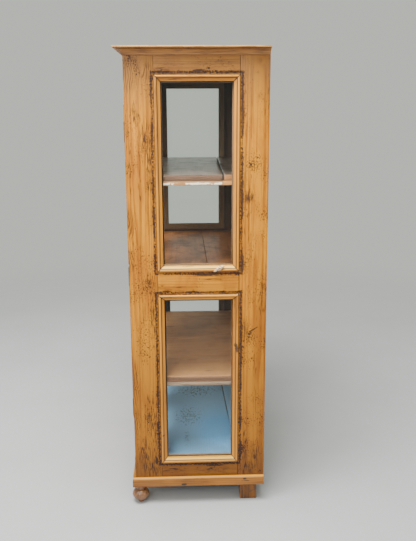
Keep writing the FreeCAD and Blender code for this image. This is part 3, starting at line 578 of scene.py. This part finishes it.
# Panes. Old cylinder glass, faintly wavy and three millimetres thick, set in the rebates behind
# the mouldings; light passes straight through it to the shelves.
GLASS_TINT = (0.93, 0.96, 0.94)
glass = Finish("old_window_glass", Transmission_Weight=1.0, IOR=1.30)
glass.colour = GLASS_TINT
ripple = glass.noise(glass.x * 7, glass.y * 7, glass.z * 4, detail=1)
dust = glass.noise(glass.x * 30, glass.y * 30, glass.z * 24, detail=4, roughness=0.7)
glass.rough = glass.rise(dust, 0.50, 0.9) * 0.06
glass.height = ripple
glass.settle(0.0012)
passing = glass.node("ShaderNodeMixShader", inputs={
    0: glass.node("ShaderNodeLightPath", output="Is Shadow Ray"),
    1: Value(glass, glass.shader.outputs[0]),
    2: glass.node("ShaderNodeBsdfTransparent", inputs={"Color": GLASS_TINT})})
glass.tree.links.new(passing.socket, glass.tree.nodes["Material Output"].inputs["Surface"])


def dress(node, material):
    """A CAD solid whose shape is right keeps its mesh and gets its finish."""
    for held in frame["nodes"][node].material_slots:
        held.material = material


for panes in ("side_panes", "right_door_panes", "left_door_panes"):
    dress(panes, glass.material)

# Glazing beads. Plain pine strips, mitred round each pane from inside to hold it, never waxed
# and dark with age.
DOOR_LIGHTS_X = (0.0535, 0.350)
DOOR_LIGHTS_Z = ((0.334, 0.938), (1.033, 1.681))


def bead_pine(name, flat_axis, span, spans_z):
    """Grain runs along each strip round a pane; the doors' strips mirror one another."""
    wood = Finish(name, Specular_IOR_Level=0.3)
    flat, depth = (abs(wood.x), wood.y) if flat_axis == "x" else (wood.y, wood.x)
    beside = wood.least(abs(flat - span[0]), abs(flat - span[1]))
    above = wood.least(*(abs(wood.z - edge) for pair in spans_z for edge in pair))
    upright = wood.rise(above - beside, -0.0002, 0.0002)
    across = wood.mix_number(upright, wood.z, flat)
    along = wood.mix_number(upright, flat, wood.z)
    wood.pine(None, (0.2, 0.3), (0.22, 0.115, 0.052), (0.125, 0.062, 0.030), figure=0.6,
              axes=(across, depth, along))
    return wood.settle()


side_bead = bead_pine("side_bead_pine", "y", LIGHTS_Y, (UPPER_LIGHT_Z, LOWER_LIGHT_Z))
door_bead = bead_pine("door_bead_pine", "x", DOOR_LIGHTS_X, DOOR_LIGHTS_Z)
for beads, material in (("side_beads", side_bead), ("right_door_beads", door_bead),
                        ("left_door_beads", door_bead)):
    worked(beads, material, ease=0.0006, wander=0)


# Face frame. Two stiles with the frieze above the doors and the rail below them, of the same
# waxed pine as the ends.
DOOR_FACE = -0.2555
DOOR_INNER = -0.2355


def front_pine(name, order, pith, knots):
    """Pine of the front; only the doors keep a line of old varnish round their mouldings."""
    wood = Finish(name, Specular_IOR_Level=0.25)
    wood.pine(order, pith, *OLD_WAX, knots=knots, shift=pith[0] * 7 + pith[1])
    blotch = wood.noise(wood.x * 14, wood.y * 14 + pith[0], wood.z * 4.5, detail=3, roughness=0.6)
    wood.paint(wood.rise(blotch, 0.46, 0.66) * 0.40, REDDENED)
    # Darker towards the bottom, as on the ends: partly browner wood, partly painted shade.
    wood.paint(wood.fall(wood.z, 0.15, 1.45) * 0.40, (0.22, 0.073, 0.010))
    # Darker and greyer towards the top: partly the wood's own colour, partly painted shade under the
    # cornice.
    wood.paint(wood.rise(wood.z, 1.58, 1.86) * 0.45, TOP_BROWN_AND_SHADE)
    if "door" in name:
        gap = wood.least(*(outside(wood, abs(wood.x), DOOR_LIGHTS_X, span) for span in DOOR_LIGHTS_Z))
        cling = clinging_varnish(wood, gap) * wood.fall(wood.y, DOOR_FACE - 0.0005, DOOR_FACE + 0.0005)
        wood.paint(cling * 0.90, VARNISH_AND_SHADE)
        wood.height = wood.height + cling * 0.8
    # The inner faces are darkened: partly aged wood, partly painted shade inside the cabinet.
    inner = wood.rise(wood.y, DOOR_INNER, DOOR_INNER + 0.0015)
    aged_and_shaded = wood.mix(wood.rise(wood.tone, 0.35, 0.65), AGED_AND_SHADED_INSIDE, darker(AGED_AND_SHADED_INSIDE, 0.4))
    wood.paint(inner * 0.92, aged_and_shaded)
    wood.rough = wood.rough + inner * 0.2
    return wood.settle()


face = front_pine("waxed_face_stiles", "xyz", (0.40, -0.19),
                  ((0.44, 1.2, 0.008, 0.02), (-0.43, 0.7, 0.008, 0.02)))
for stile in ("right_face_stile", "left_face_stile"):
    worked(stile, face, axes="z")
frieze = front_pine("waxed_frieze", "zyx", (1.80, -0.20),
                    ((1.81, -0.12, 0.010, 0.016), (1.83, 0.27, 0.007, 0.010)))
worked("frieze_rail", frieze, axes="x")
sill = front_pine("waxed_base_rail", "zyx", (0.155, -0.19),
                  ((0.150, -0.22, 0.009, 0.015), (0.170, 0.31, 0.006, 0.010)))
worked("front_base_rail", sill, axes="x")

# Doors. Two glazed doors of stiles and three rails each, hung on the face stiles, with the
# same mouldings as the sides but standing prouder.
door_stile_pine = front_pine("waxed_door_stiles", "xyz", (0.20, -0.14),
                             ((0.030, 0.62, 0.007, 0.018), (0.385, 1.42, 0.010, 0.022),
                              (-0.380, 0.95, 0.009, 0.020), (-0.024, 1.60, 0.006, 0.014)))
door_rail_pine = front_pine("waxed_door_rails", "zyx", (0.98, -0.17),
                            ((0.99, 0.22, 0.008, 0.012), (0.27, -0.13, 0.009, 0.014)))
DOOR_SPANS = {"right": DOOR_LIGHTS_X, "left": tuple(-x for x in reversed(DOOR_LIGHTS_X))}
for side, span in DOOR_SPANS.items():
    for part in ("hinge_stile", "meeting_stile"):
        worked(f"{side}_door_{part}", door_stile_pine, axes="z")
    for part in ("top_rail", "mid_rail", "bottom_rail"):
        worked(f"{side}_door_{part}", door_rail_pine, axes="x")
    trim = moulding_pine(side + "_door_moulding_pine", span, DOOR_LIGHTS_Z, "x")
    worked(f"{side}_door_mouldings", trim.settle(),
           ease=0.0005, wander=0.0004, axes="xz")

# Hinges. Three butt hinges of wrought iron to each door, brown with age, their knuckles standing
# out at the front and their leaves screwed to the edges of the stiles.
iron = Finish("brown_iron", Metallic=0.9)
scale_marks = iron.noise(iron.x * 160, iron.y * 160, iron.z * 160, detail=4, roughness=0.65)
rust = iron.rise(iron.noise(iron.x * 60, iron.y * 60, iron.z * 60, detail=3), 0.48, 0.66)
iron.colour = iron.mix(rust, (0.11, 0.095, 0.085), (0.16, 0.075, 0.035))
iron.rough = 0.42 + rust * 0.35 + scale_marks * 0.1
iron.height = scale_marks + rust * 0.4
iron.settle(0.0003)
for node in ("hinge_frame_leaves", "right_hinge_leaves", "left_hinge_leaves", "hinge_pins"):
    dress(node, iron.material)

# Lock and bolts. An iron rim lock is screwed inside the right door, with its keeper on the left
# one, a steel key and a brass escutcheon. Two slide bolts hold the left door, at top and bottom.
steel = Finish("bright_steel", Metallic=1.0)
scratch = steel.noise(steel.x * 300, steel.y * 300, steel.z * 900, detail=2)
tarnish = steel.noise(steel.x * 50, steel.y * 50, steel.z * 50, detail=3)
steel.colour = steel.mix(steel.rise(tarnish, 0.4, 0.75), (0.42, 0.40, 0.37), (0.20, 0.16, 0.12))
steel.rough = 0.30 + tarnish * 0.25
steel.height = scratch
steel.settle(0.0001)
brass = Finish("worn_brass", Metallic=1.0)
dull = brass.noise(brass.x * 90, brass.y * 90, brass.z * 90, detail=3)
brass.colour = brass.mix(brass.rise(dull, 0.35, 0.7), (0.62, 0.42, 0.15), (0.30, 0.19, 0.07))
brass.rough = 0.25 + dull * 0.3
brass.height = dull
brass.settle(0.0001)
for node in ("lock_case", "lock_keeper", "slide_bolt_guides", "slide_bolt_keepers"):
    dress(node, iron.material)
for node in ("lock_bolt", "key", "top_slide_bolt", "bottom_slide_bolt"):
    dress(node, steel.material)
dress("escutcheon", brass.material)

# Feet. Turned pine buns in front, waxed and bruised, and plain square blocks behind, both fixed
# up into the base frame.
turned = Finish("turned_pine", Specular_IOR_Level=0.6, Coat_Weight=0.35, Coat_Roughness=0.18)
turned.pine("yxz", (-0.2395, 0.44), (0.26, 0.108, 0.030), (0.145, 0.053, 0.015), ring=0.006, bend=0.02)
bruise = turned.noise(turned.x * 70, turned.y * 70, turned.z * 70, detail=3, roughness=0.65)
turned.paint(turned.rise(bruise, 0.5, 0.7) * 0.5, (0.09, 0.045, 0.024))
turned.rough = 0.30 + bruise * 0.2
turned.settle()
dress("bun_feet", turned.material)
chunk = Finish("foot_block_pine", Specular_IOR_Level=0.4)
chunk.pine("yxz", (0.227, 0.40), (0.22, 0.076, 0.008), (0.115, 0.037, 0.005), ring=0.006)
stain = chunk.noise(chunk.x * 40, chunk.y * 40, chunk.z * 55, detail=3, roughness=0.65)
chunk.paint(chunk.rise(stain, 0.50, 0.62) * 0.75, (0.075, 0.038, 0.020))
chunk.settle()
worked("block_feet", chunk.material, ease=0.0016, wander=0.0012, cut=0.012, axes="xyz")

# Base and top. A plinth with a rounded top, the cove over it across the front and the cornice,
# mitred at the corners, with bearers of unfinished pine below and a rough board on top.
def mitred_pine(name, pith, pale, dark, knots=()):
    """Pine of a member across the front and one along each end, the mitre between them dark."""
    wood = Finish(name, Specular_IOR_Level=0.45)
    to_side = (abs(wood.x) - SIDE_FACE) - (cabinet_front - wood.y)
    at_side = wood.rise(to_side, -0.0002, 0.0002)
    along = wood.mix_number(at_side, wood.x, wood.y)
    deep = wood.mix_number(at_side, SIDE_FACE + cabinet_front - wood.y, abs(wood.x))
    wood.pine(None, pith, pale, dark, ring=0.005, knots=knots, axes=(wood.z, deep, along))
    wood.paint(wood.band(to_side, 0.0, 0.0005, 0.0010) * 0.75, VARNISH_AND_SHADE)
    return wood


cabinet_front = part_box("right_face_stile")[0][1]
plinth = mitred_pine("plinth_pine", (0.05, 0.42), (0.37, 0.138, 0.014), (0.20, 0.063, 0.007),
                     ((0.1125, 0.2110, 0.0045, 0.0085, 0.9), (0.100, -0.330, 0.006, 0.010, 0.7)))
# Painted highlight on the rounded top and on every face turned up.
plinth.paint(plinth.rise(plinth.z, 0.112, 0.123) * 0.4, (0.62, 0.27, 0.02))
plinth.paint(plinth.facing_up() * 0.5, (0.62, 0.26, 0.008))
nicks = plinth.noise(plinth.x * 60, plinth.y * 60, plinth.z * 90, detail=4, roughness=0.7)
for mark in ((-0.051, 0.092, 0.013, 0.006), (0.2110, 0.1115, 0.0085, 0.0040),
             (0.2150, 0.1020, 0.020, 0.0024)):
    plinth.paint(plinth.blot(nicks, plinth.y, plinth.z, *mark) * 0.9, VARNISH_AND_SHADE)
plinth.paint(plinth.fall(plinth.z, 0.083, 0.089) * plinth.rise(nicks, 0.42, 0.60) * 0.6, VARNISH_AND_SHADE)
plinth.settle()
worked("plinth", plinth.material, ease=0.0008, wander=0.0010, axes="xy")
worked("base_cove", plinth.material, ease=0.0008, wander=0.0006, axes="x")

crown = mitred_pine("cornice_pine", (1.80, 0.35), (0.37, 0.155, 0.034), (0.20, 0.073, 0.018))
# Painted highlight along the top edge.
crown.paint(crown.rise(crown.z, 1.8835, 1.8850) * 0.7, (0.80, 0.38, 0.09))
grime = crown.noise(crown.x * 30, crown.y * 14, crown.z * 160, detail=3)
crown.paint(crown.rise(grime, 0.50, 0.64) * 0.55, (0.10, 0.045, 0.022))
# Painted shade on the faces turned up.
crown.paint(crown.facing_up() * 0.90, (0.13, 0.088, 0.042))
crown.settle()
worked("cornice", crown.material, ease=0.0008, wander=0.0010, axes="xy")

rough_pine = Finish("rough_pine", Specular_IOR_Level=0.2)
rough_pine.pine("yzx", (0.0, 0.02), (0.40, 0.27, 0.16), (0.24, 0.145, 0.082), ring=0.006)
saw = rough_pine.noise(rough_pine.x * 260, rough_pine.y * 8, rough_pine.z * 260)
rough_pine.height = rough_pine.height + saw
rough_pine.rough = 0.85
rough_pine.settle(0.0008)
worked("base_frame", rough_pine.material, wander=0)
worked("top_board", rough_pine.material, wander=0.0008, axes="x")

# Back. Six upright boards nailed over the back stiles and never finished. Each is from its own
# log, with its own tone, knots and figure, and dirt lies in the joints.
BACK_HALF = 0.476
BACK_WIDE = 2 * BACK_HALF / 6
back = Finish("back_board_pine", Specular_IOR_Level=0.2)
which = back.math("FLOOR", (back.x + BACK_HALF) / BACK_WIDE)
own = back.node("ShaderNodeTexWhiteNoise", {"noise_dimensions": "1D"}, {"W": which + 0.5})
own_x = back.x - (which + 0.5) * BACK_WIDE + BACK_HALF
back.pine(None, (0.01, 0.20), (0.30, 0.175, 0.105), (0.165, 0.092, 0.055),
          axes=(own_x, back.y, back.z + own * 7),
          knots=((0.030, 1.1, 0.010, 0.016), (-0.040, 2.6, 0.008, 0.014), (0.020, 4.3, 0.012, 0.020),
                 (-0.025, 5.6, 0.010, 0.015), (0.050, 6.9, 0.009, 0.016), (-0.030, 7.9, 0.011, 0.018)))
back.paint(own * 0.45, (0.120, 0.078, 0.055))
back.paint(back.fall(BACK_WIDE / 2 - abs(own_x), 0.0006, 0.0030) * 0.8, (0.03, 0.02, 0.016))
back.paint(back.fall(back.y, 0.2820, 0.2830) * 0.55, (0.060, 0.036, 0.028))
back.rough = 0.8
back.settle(0.0006)
worked("back_boards", back.material, wander=0.0006, axes="z")

# Shelves and cleats. Three loose shelves lie on battens nailed inside the ends: the lower one is
# glued up from boards that run from front to back, and the others are two long boards each.
SHELF_END = 0.4590
SEAM_SLOPE = 0.0238
# A small oblong by the seam at the upper shelf's ends. What it is isn't known: its outline is drawn.
TAB_Y = 0.1155
TAB_Z = 1.4010
# Grain order, pale and dark wood, and how glossy each shelf is.
SHELF_LOOKS = {"lower": ("xzy", (0.64, 0.29, 0.096), (0.46, 0.20, 0.066), 0.0),
               "middle": ("yzx", (0.50, 0.170, 0.042), (0.30, 0.092, 0.024), 0.25),
               "upper": ("yzx", (0.36, 0.260, 0.200), (0.11, 0.068, 0.050), 0.60)}
for level, (order, pale, dark, gloss) in SHELF_LOOKS.items():
    board = Finish(level + "_shelf_pine", Specular_IOR_Level=0.4, Coat_Weight=gloss, Coat_Roughness=0.20)
    knots = ((0.06, 0.30, 0.010, 0.016), (-0.11, -0.20, 0.012, 0.020))
    if level == "lower":
        knots = ((0.40, 0.06, 0.010, 0.016, 0.7), (-0.20, -0.11, 0.012, 0.020), (0.12, 0.19, 0.008, 0.014))
    board.pine(order, (0.02, 0.47), pale, dark, ring=0.007, figure=0.45, knots=knots)
    sawn = board.noise(board.y * 9, board.z * 20, board.x * 150, detail=3, roughness=0.65)
    patch = board.noise(board.x * 11, board.y * 14, board.z * 3, detail=5, roughness=0.65)
    sawn_share, patch_share = (0.12, 0.20) if level == "lower" else (0.18, 0.6)
    board.paint(board.rise(sawn, 0.50, 0.66) * sawn_share, darker(dark, 0.50))
    board.paint(board.rise(patch, 0.48, 0.62) * patch_share, darker(dark, 0.55))
    # Painted shade towards the right-hand end.
    board.paint(board.rise(board.x, 0.16, 0.46) * 0.50, darker(dark, 0.45))
    end = board.rise(abs(board.x), SHELF_END, SHELF_END + 0.0015)
    board.paint(end * 0.85, board.mix(board.late, (0.145, 0.054, 0.019), (0.075, 0.026, 0.010)))
    if level == "upper":
        right_board = board.rise(board.y, 0.1180, 0.1195)
        board.paint(end * right_board, (0.30, 0.105, 0.020))
        tab = board.band(board.y, TAB_Y, 0.0070, 0.0012) * board.band(board.z, TAB_Z, 0.0055, 0.0010)
        hollow = board.band(board.y, TAB_Y, 0.0052, 0.0010) * board.band(board.z, TAB_Z, 0.0038, 0.0010)
        board.paint(end * (tab - hollow), (0.07, 0.030, 0.018))
    if level != "lower":
        seam = {"upper": (board.y + board.x * SEAM_SLOPE, 0.1295), "middle": (board.y, 0.0605)}[level]
        open_seam = board.band(*seam, 0.0030 if level == "upper" else 0.0007, 0.0010)
        board.paint(open_seam * (0.92 if level == "upper" else 0.35), (0.018, 0.010, 0.008))
        board.rough = 0.30 + patch * 0.30 + open_seam * 0.4
    else:
        board.rough = 0.40 + patch * 0.30
    board.settle()
    worked(level + "_shelf", board.material, ease=0.0016, wander=0.0008, axes="xy")

cleat = Finish("cleat_pine", Specular_IOR_Level=0.3)
cleat.pine("zxy", (0.0, 0.44), (0.30, 0.19, 0.12), (0.19, 0.115, 0.072))
flakes = cleat.noise(cleat.x * 90, cleat.y * 70, cleat.z * 110, detail=3, roughness=0.65)
cleat.paint(cleat.rise(cleat.z, 1.35, 1.36) * 0.8, (0.42, 0.17, 0.050))
chipped = cleat.noise(cleat.x * 20, cleat.y * 26, cleat.z * 20, detail=3, roughness=0.6)
white_edge = cleat.band(cleat.z + (flakes - 0.5) * 0.010, 1.3800, 0.0030, 0.0016)
white_edge = white_edge * cleat.fall(cleat.y, 0.112, 0.116)
white_edge = white_edge * cleat.rise(chipped + flakes * 0.25, 0.52, 0.58)
cleat.paint(white_edge, (0.95, 0.90, 0.76))
cleat.paint(cleat.rise(cleat.y, 0.118, 0.120) * cleat.rise(cleat.z, 1.36, 1.37), (0.56, 0.23, 0.055))
cleat.settle()
worked("shelf_cleats", cleat.material, wander=0.0006, cut=0.012, axes="y")

# Painted floor. Two pine boards under blue house paint, with a pool of painted light behind the middle,
# painted shade at the right-hand end and a painted shadow in its front corner, a crack where they meet and
# specks worn down to the wood.
BLUE = (0.310, 0.580, 0.880)
BLUE_SHADED = (0.085, 0.180, 0.290)
BLUE_LIT = (0.170, 0.540, 1.000)
LIT_X = 0.20
LIT_Y = 0.12
painted = Finish("painted_pine", Specular_IOR_Level=0.3)
painted.pine("yzx", (0.1, 0.25), (0.30, 0.20, 0.12), (0.18, 0.11, 0.07), ring=0.007)
cloudy = painted.noise(painted.x * 5, painted.y * 5, painted.z * 4, detail=3)
# A pool of painted light, brighter and bluer, behind the middle.
from_lit_pool = painted.math("SQRT", (painted.x - LIT_X) * (painted.x - LIT_X) * 0.35
                          + (painted.y - LIT_Y) * (painted.y - LIT_Y))
lit_pool = painted.fall(from_lit_pool + (cloudy - 0.5) * 0.10, 0.03, 0.17)
# Painted shade towards the right-hand end.
blue = painted.mix(painted.rise(painted.x, 0.14, 0.42) * 0.90, BLUE, BLUE_SHADED)
blue = painted.mix(lit_pool * 0.85, blue, BLUE_LIT)
dirt = painted.noise(painted.x * 55, painted.y * 90, 2.0, detail=4, roughness=0.7)
for smudge in ((0.08, -0.025, 0.110, 0.070), (0.30, -0.035, 0.080, 0.016), (-0.22, 0.02, 0.08, 0.12)):
    blue = painted.mix(painted.flecks(dirt, painted.x, painted.y, *smudge) * 0.55, blue,
                       (0.045, 0.060, 0.075))
# A painted shadow in the front corner at the right-hand end.
corner = painted.blot(cloudy, painted.x, painted.y, 0.44, -0.13, 0.09, 0.05)
blue = painted.mix(corner * 0.5, blue, (0.050, 0.080, 0.110))
seam = painted.band(painted.y - painted.x * SEAM_SLOPE, 0.1655, 0.0016, 0.0022)
blue = painted.mix(seam * painted.fall(painted.x, -0.02, 0.20) * 0.95, blue, (0.010, 0.012, 0.018))
specks = painted.noise(painted.x * 14, painted.y * 22, 5.0, detail=5, roughness=0.7)
painted.colour = painted.mix(painted.rise(specks, 0.70, 0.74) * 0.6, blue, painted.colour)
painted.rough = 0.42 + cloudy * 0.25
painted.settle(0.0004)
worked("floor_boards", painted.material, wander=0.0006, axes="xy")

# Fastenings. Slotted iron screws in the hinges, the lock and the slide bolts, brass pins in the
# escutcheon, fine pins in the mouldings and rose-headed nails in the back boards.
SCREW_RADIUS = 0.0034
SCREW_DEPTH = 0.0024
SCREW_PROUD = 0.0004
SLOT_WIDE = 0.0009
SLOT_DEEP = 0.0011
PIN_RADIUS = 0.0011
NAIL_RADIUS = 0.0034


def loose_head(name, material):
    """What has just been modelled at the world's middle, kept out of the scene as a pattern."""
    head = bpy.context.object
    head.name = name
    bpy.ops.object.shade_smooth_by_angle(angle=math.radians(35))
    head.data.materials.clear()
    head.data.materials.append(material)
    return head


def screw_pattern(name, material):
    """A countersunk head: a disc with an eased rim, and a slot cut across it."""
    bpy.ops.object.select_all(action="DESELECT")
    bpy.ops.mesh.primitive_cube_add(size=1, location=(0, 0, SCREW_PROUD))
    blade = bpy.context.object
    blade.scale = (3 * SCREW_RADIUS, SLOT_WIDE, SLOT_DEEP)
    bpy.ops.mesh.primitive_cylinder_add(vertices=24, radius=SCREW_RADIUS, depth=SCREW_DEPTH,
                                        location=(0, 0, SCREW_PROUD - SCREW_DEPTH / 2))
    head = bpy.context.object
    rim = head.modifiers.new("rim", "BEVEL")
    rim.width = 0.0003
    rim.segments = 2
    bpy.ops.object.modifier_apply(modifier="rim")
    slot = head.modifiers.new("slot", "BOOLEAN")
    slot.object = blade
    slot.solver = "EXACT"
    bpy.ops.object.modifier_apply(modifier="slot")
    bpy.ops.object.transform_apply(location=True, rotation=True, scale=True)
    bpy.data.objects.remove(blade)
    return loose_head(name, material)


def domed_pattern(name, material, radius, sides, rise):
    """A pin or nail head: a low dome of so many facets, half buried."""
    bpy.ops.object.select_all(action="DESELECT")
    bpy.ops.mesh.primitive_uv_sphere_add(segments=sides, ring_count=8, radius=radius)
    bpy.ops.object.mode_set(mode="EDIT")
    bpy.ops.mesh.select_all(action="SELECT")
    bpy.ops.mesh.bisect(plane_co=(0, 0, -0.3 * radius), plane_no=(0, 0, 1),
                        use_fill=True, clear_inner=True)
    bpy.ops.mesh.select_all(action="SELECT")
    bpy.ops.transform.resize(value=(1, 1, rise / radius), center_override=(0, 0, 0))
    bpy.ops.object.mode_set(mode="OBJECT")
    return loose_head(name, material)


def drive(name, pattern, places, body):
    """Copies of a head, each on the surface of a piece below its place, joined as one piece."""
    heads = []
    for i, (under, start, inward) in enumerate(places):
        found, on, normal, _ = under.ray_cast(start, inward)
        if not found:
            raise RuntimeError(f"{name}: nothing to drive into at {start}")
        bpy.ops.object.select_all(action="DESELECT")
        pattern.select_set(True)
        bpy.context.view_layer.objects.active = pattern
        bpy.ops.object.duplicate()
        head = bpy.context.object
        stand = Vector(normal).to_track_quat("Z", "Y").to_matrix().to_4x4()
        head.matrix_world = Matrix.Translation(on) @ stand @ Matrix.Rotation(1.7 * i + 0.4, 4, "Z")
        heads.append(head)
    for head in heads:
        head.select_set(True)
    bpy.context.view_layer.objects.active = heads[0]
    bpy.ops.object.join()
    bpy.ops.object.transform_apply(location=True, rotation=True, scale=True)
    joined = bpy.context.object
    joined.name = name
    for point in joined.data.vertices:
        point.co.y = min(point.co.y, cabinet_back)
    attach(joined, body)


screw = screw_pattern("screw_pattern", iron.material)
brass_pin = domed_pattern("brass_pin_pattern", brass.material, PIN_RADIUS, 12, 0.0006)
iron_pin = domed_pattern("iron_pin_pattern", iron.material, 0.8 * PIN_RADIUS, 8, 0.0002)
nail = domed_pattern("nail_pattern", iron.material, NAIL_RADIUS, 6, 0.0005)

cad = frame["nodes"]
HINGE_GAP = 0.411
LEAF_MIDDLE = -0.2475
HINGES_UP = (0.4145, 0.996, 1.5775)
LOCK_SCREWS_X = (0.0085, 0.0415)
LOCK_SCREWS_Z = (0.9575, 1.0135)
KEEPER_X = -0.0105
KEEPER_SCREWS_Z = (0.9955, 1.0105)
BOLT_SCREWS_X = (-0.0275 - 0.0095, -0.0275 + 0.0095)
BOLT_SCREWS_Z = (1.742, 1.700, 0.250, 0.292)
KEYHOLE_X = 0.0255
ESCUTCHEON_PINS_Z = (0.9685, 1.0025)
FROM_INSIDE = -0.20
FROM_OUTSIDE = -0.28
leaf_up = [z + dz for z in HINGES_UP for dz in (-0.025, 0.0, 0.025)]
for name, node, side, way, body in (("frame_leaf_screws_right", "hinge_frame_leaves", 1, 1, "cabinet"),
                                    ("frame_leaf_screws_left", "hinge_frame_leaves", -1, -1, "cabinet"),
                                    ("right_leaf_screws", "right_hinge_leaves", 1, -1, "right_door"),
                                    ("left_leaf_screws", "left_hinge_leaves", -1, 1, "left_door")):
    drive(name, screw, [(cad[node], (side * HINGE_GAP, LEAF_MIDDLE, z), (way, 0, 0)) for z in leaf_up],
          body)
drive("lock_screws", screw,
      [(cad["lock_case"], (x, FROM_INSIDE, z), (0, -1, 0)) for x in LOCK_SCREWS_X for z in LOCK_SCREWS_Z],
      "right_door")
drive("keeper_screws", screw,
      [(cad["lock_keeper"], (KEEPER_X, FROM_INSIDE, z), (0, -1, 0)) for z in KEEPER_SCREWS_Z],
      "left_door")
drive("slide_bolt_screws", screw,
      [(cad["slide_bolt_guides"], (x, FROM_INSIDE, z), (0, -1, 0))
       for x in BOLT_SCREWS_X for z in BOLT_SCREWS_Z], "left_door")
drive("escutcheon_pins", brass_pin,
      [(cad["escutcheon"], (KEYHOLE_X, FROM_OUTSIDE, z), (0, 1, 0)) for z in ESCUTCHEON_PINS_Z],
      "right_door")

PIN_INSET = 0.0065


def pin_spots(span, spans_z):
    """Where the pins go round each light: places across and up."""
    spots = []
    for low, high in spans_z:
        third = (high - low) / 3
        for z in (low + 0.06, low + third, high - third, high - 0.06):
            spots += [(at, z) for at in (span[0] + PIN_INSET, span[1] - PIN_INSET)]
        for at in (span[0] + 0.07, sum(span) / 2, span[1] - 0.07):
            spots += [(at, z) for z in (low + PIN_INSET, high - PIN_INSET)]
    return spots


for side, way in (("right", 1), ("left", -1)):
    trim = bpy.data.objects[side + "_side_mouldings_worked"]
    drive(side + "_side_moulding_pins", iron_pin,
          [(trim, (way * 0.53, y, z), (-way, 0, 0))
           for y, z in pin_spots(LIGHTS_Y, (UPPER_LIGHT_Z, LOWER_LIGHT_Z))], "cabinet")
for side, span in DOOR_SPANS.items():
    trim = bpy.data.objects[side + "_door_mouldings_worked"]
    drive(side + "_door_moulding_pins", iron_pin,
          [(trim, (x, -0.29, z), (0, 1, 0)) for x, z in pin_spots(span, DOOR_LIGHTS_Z)],
          side + "_door")

boards = bpy.data.objects["back_boards_worked"]
NAIL_STRAY = 0.004
BACK_NAILS_Z = (0.193, 1.010, 1.835)
nailed = [((n - 2.5) * BACK_WIDE + dx + NAIL_STRAY * math.sin(5 * n + 40 * z),
           z + NAIL_STRAY * math.sin(3 * n + 70 * dx))
          for n in range(6) for dx in (-0.046, 0.046) for z in BACK_NAILS_Z]
drive("back_nails", nail, [(boards, (x, 0.31, z), (0, -1, 0)) for x, z in nailed], "cabinet")
for pattern in (screw, brass_pin, iron_pin, nail):
    bpy.data.objects.remove(pattern)
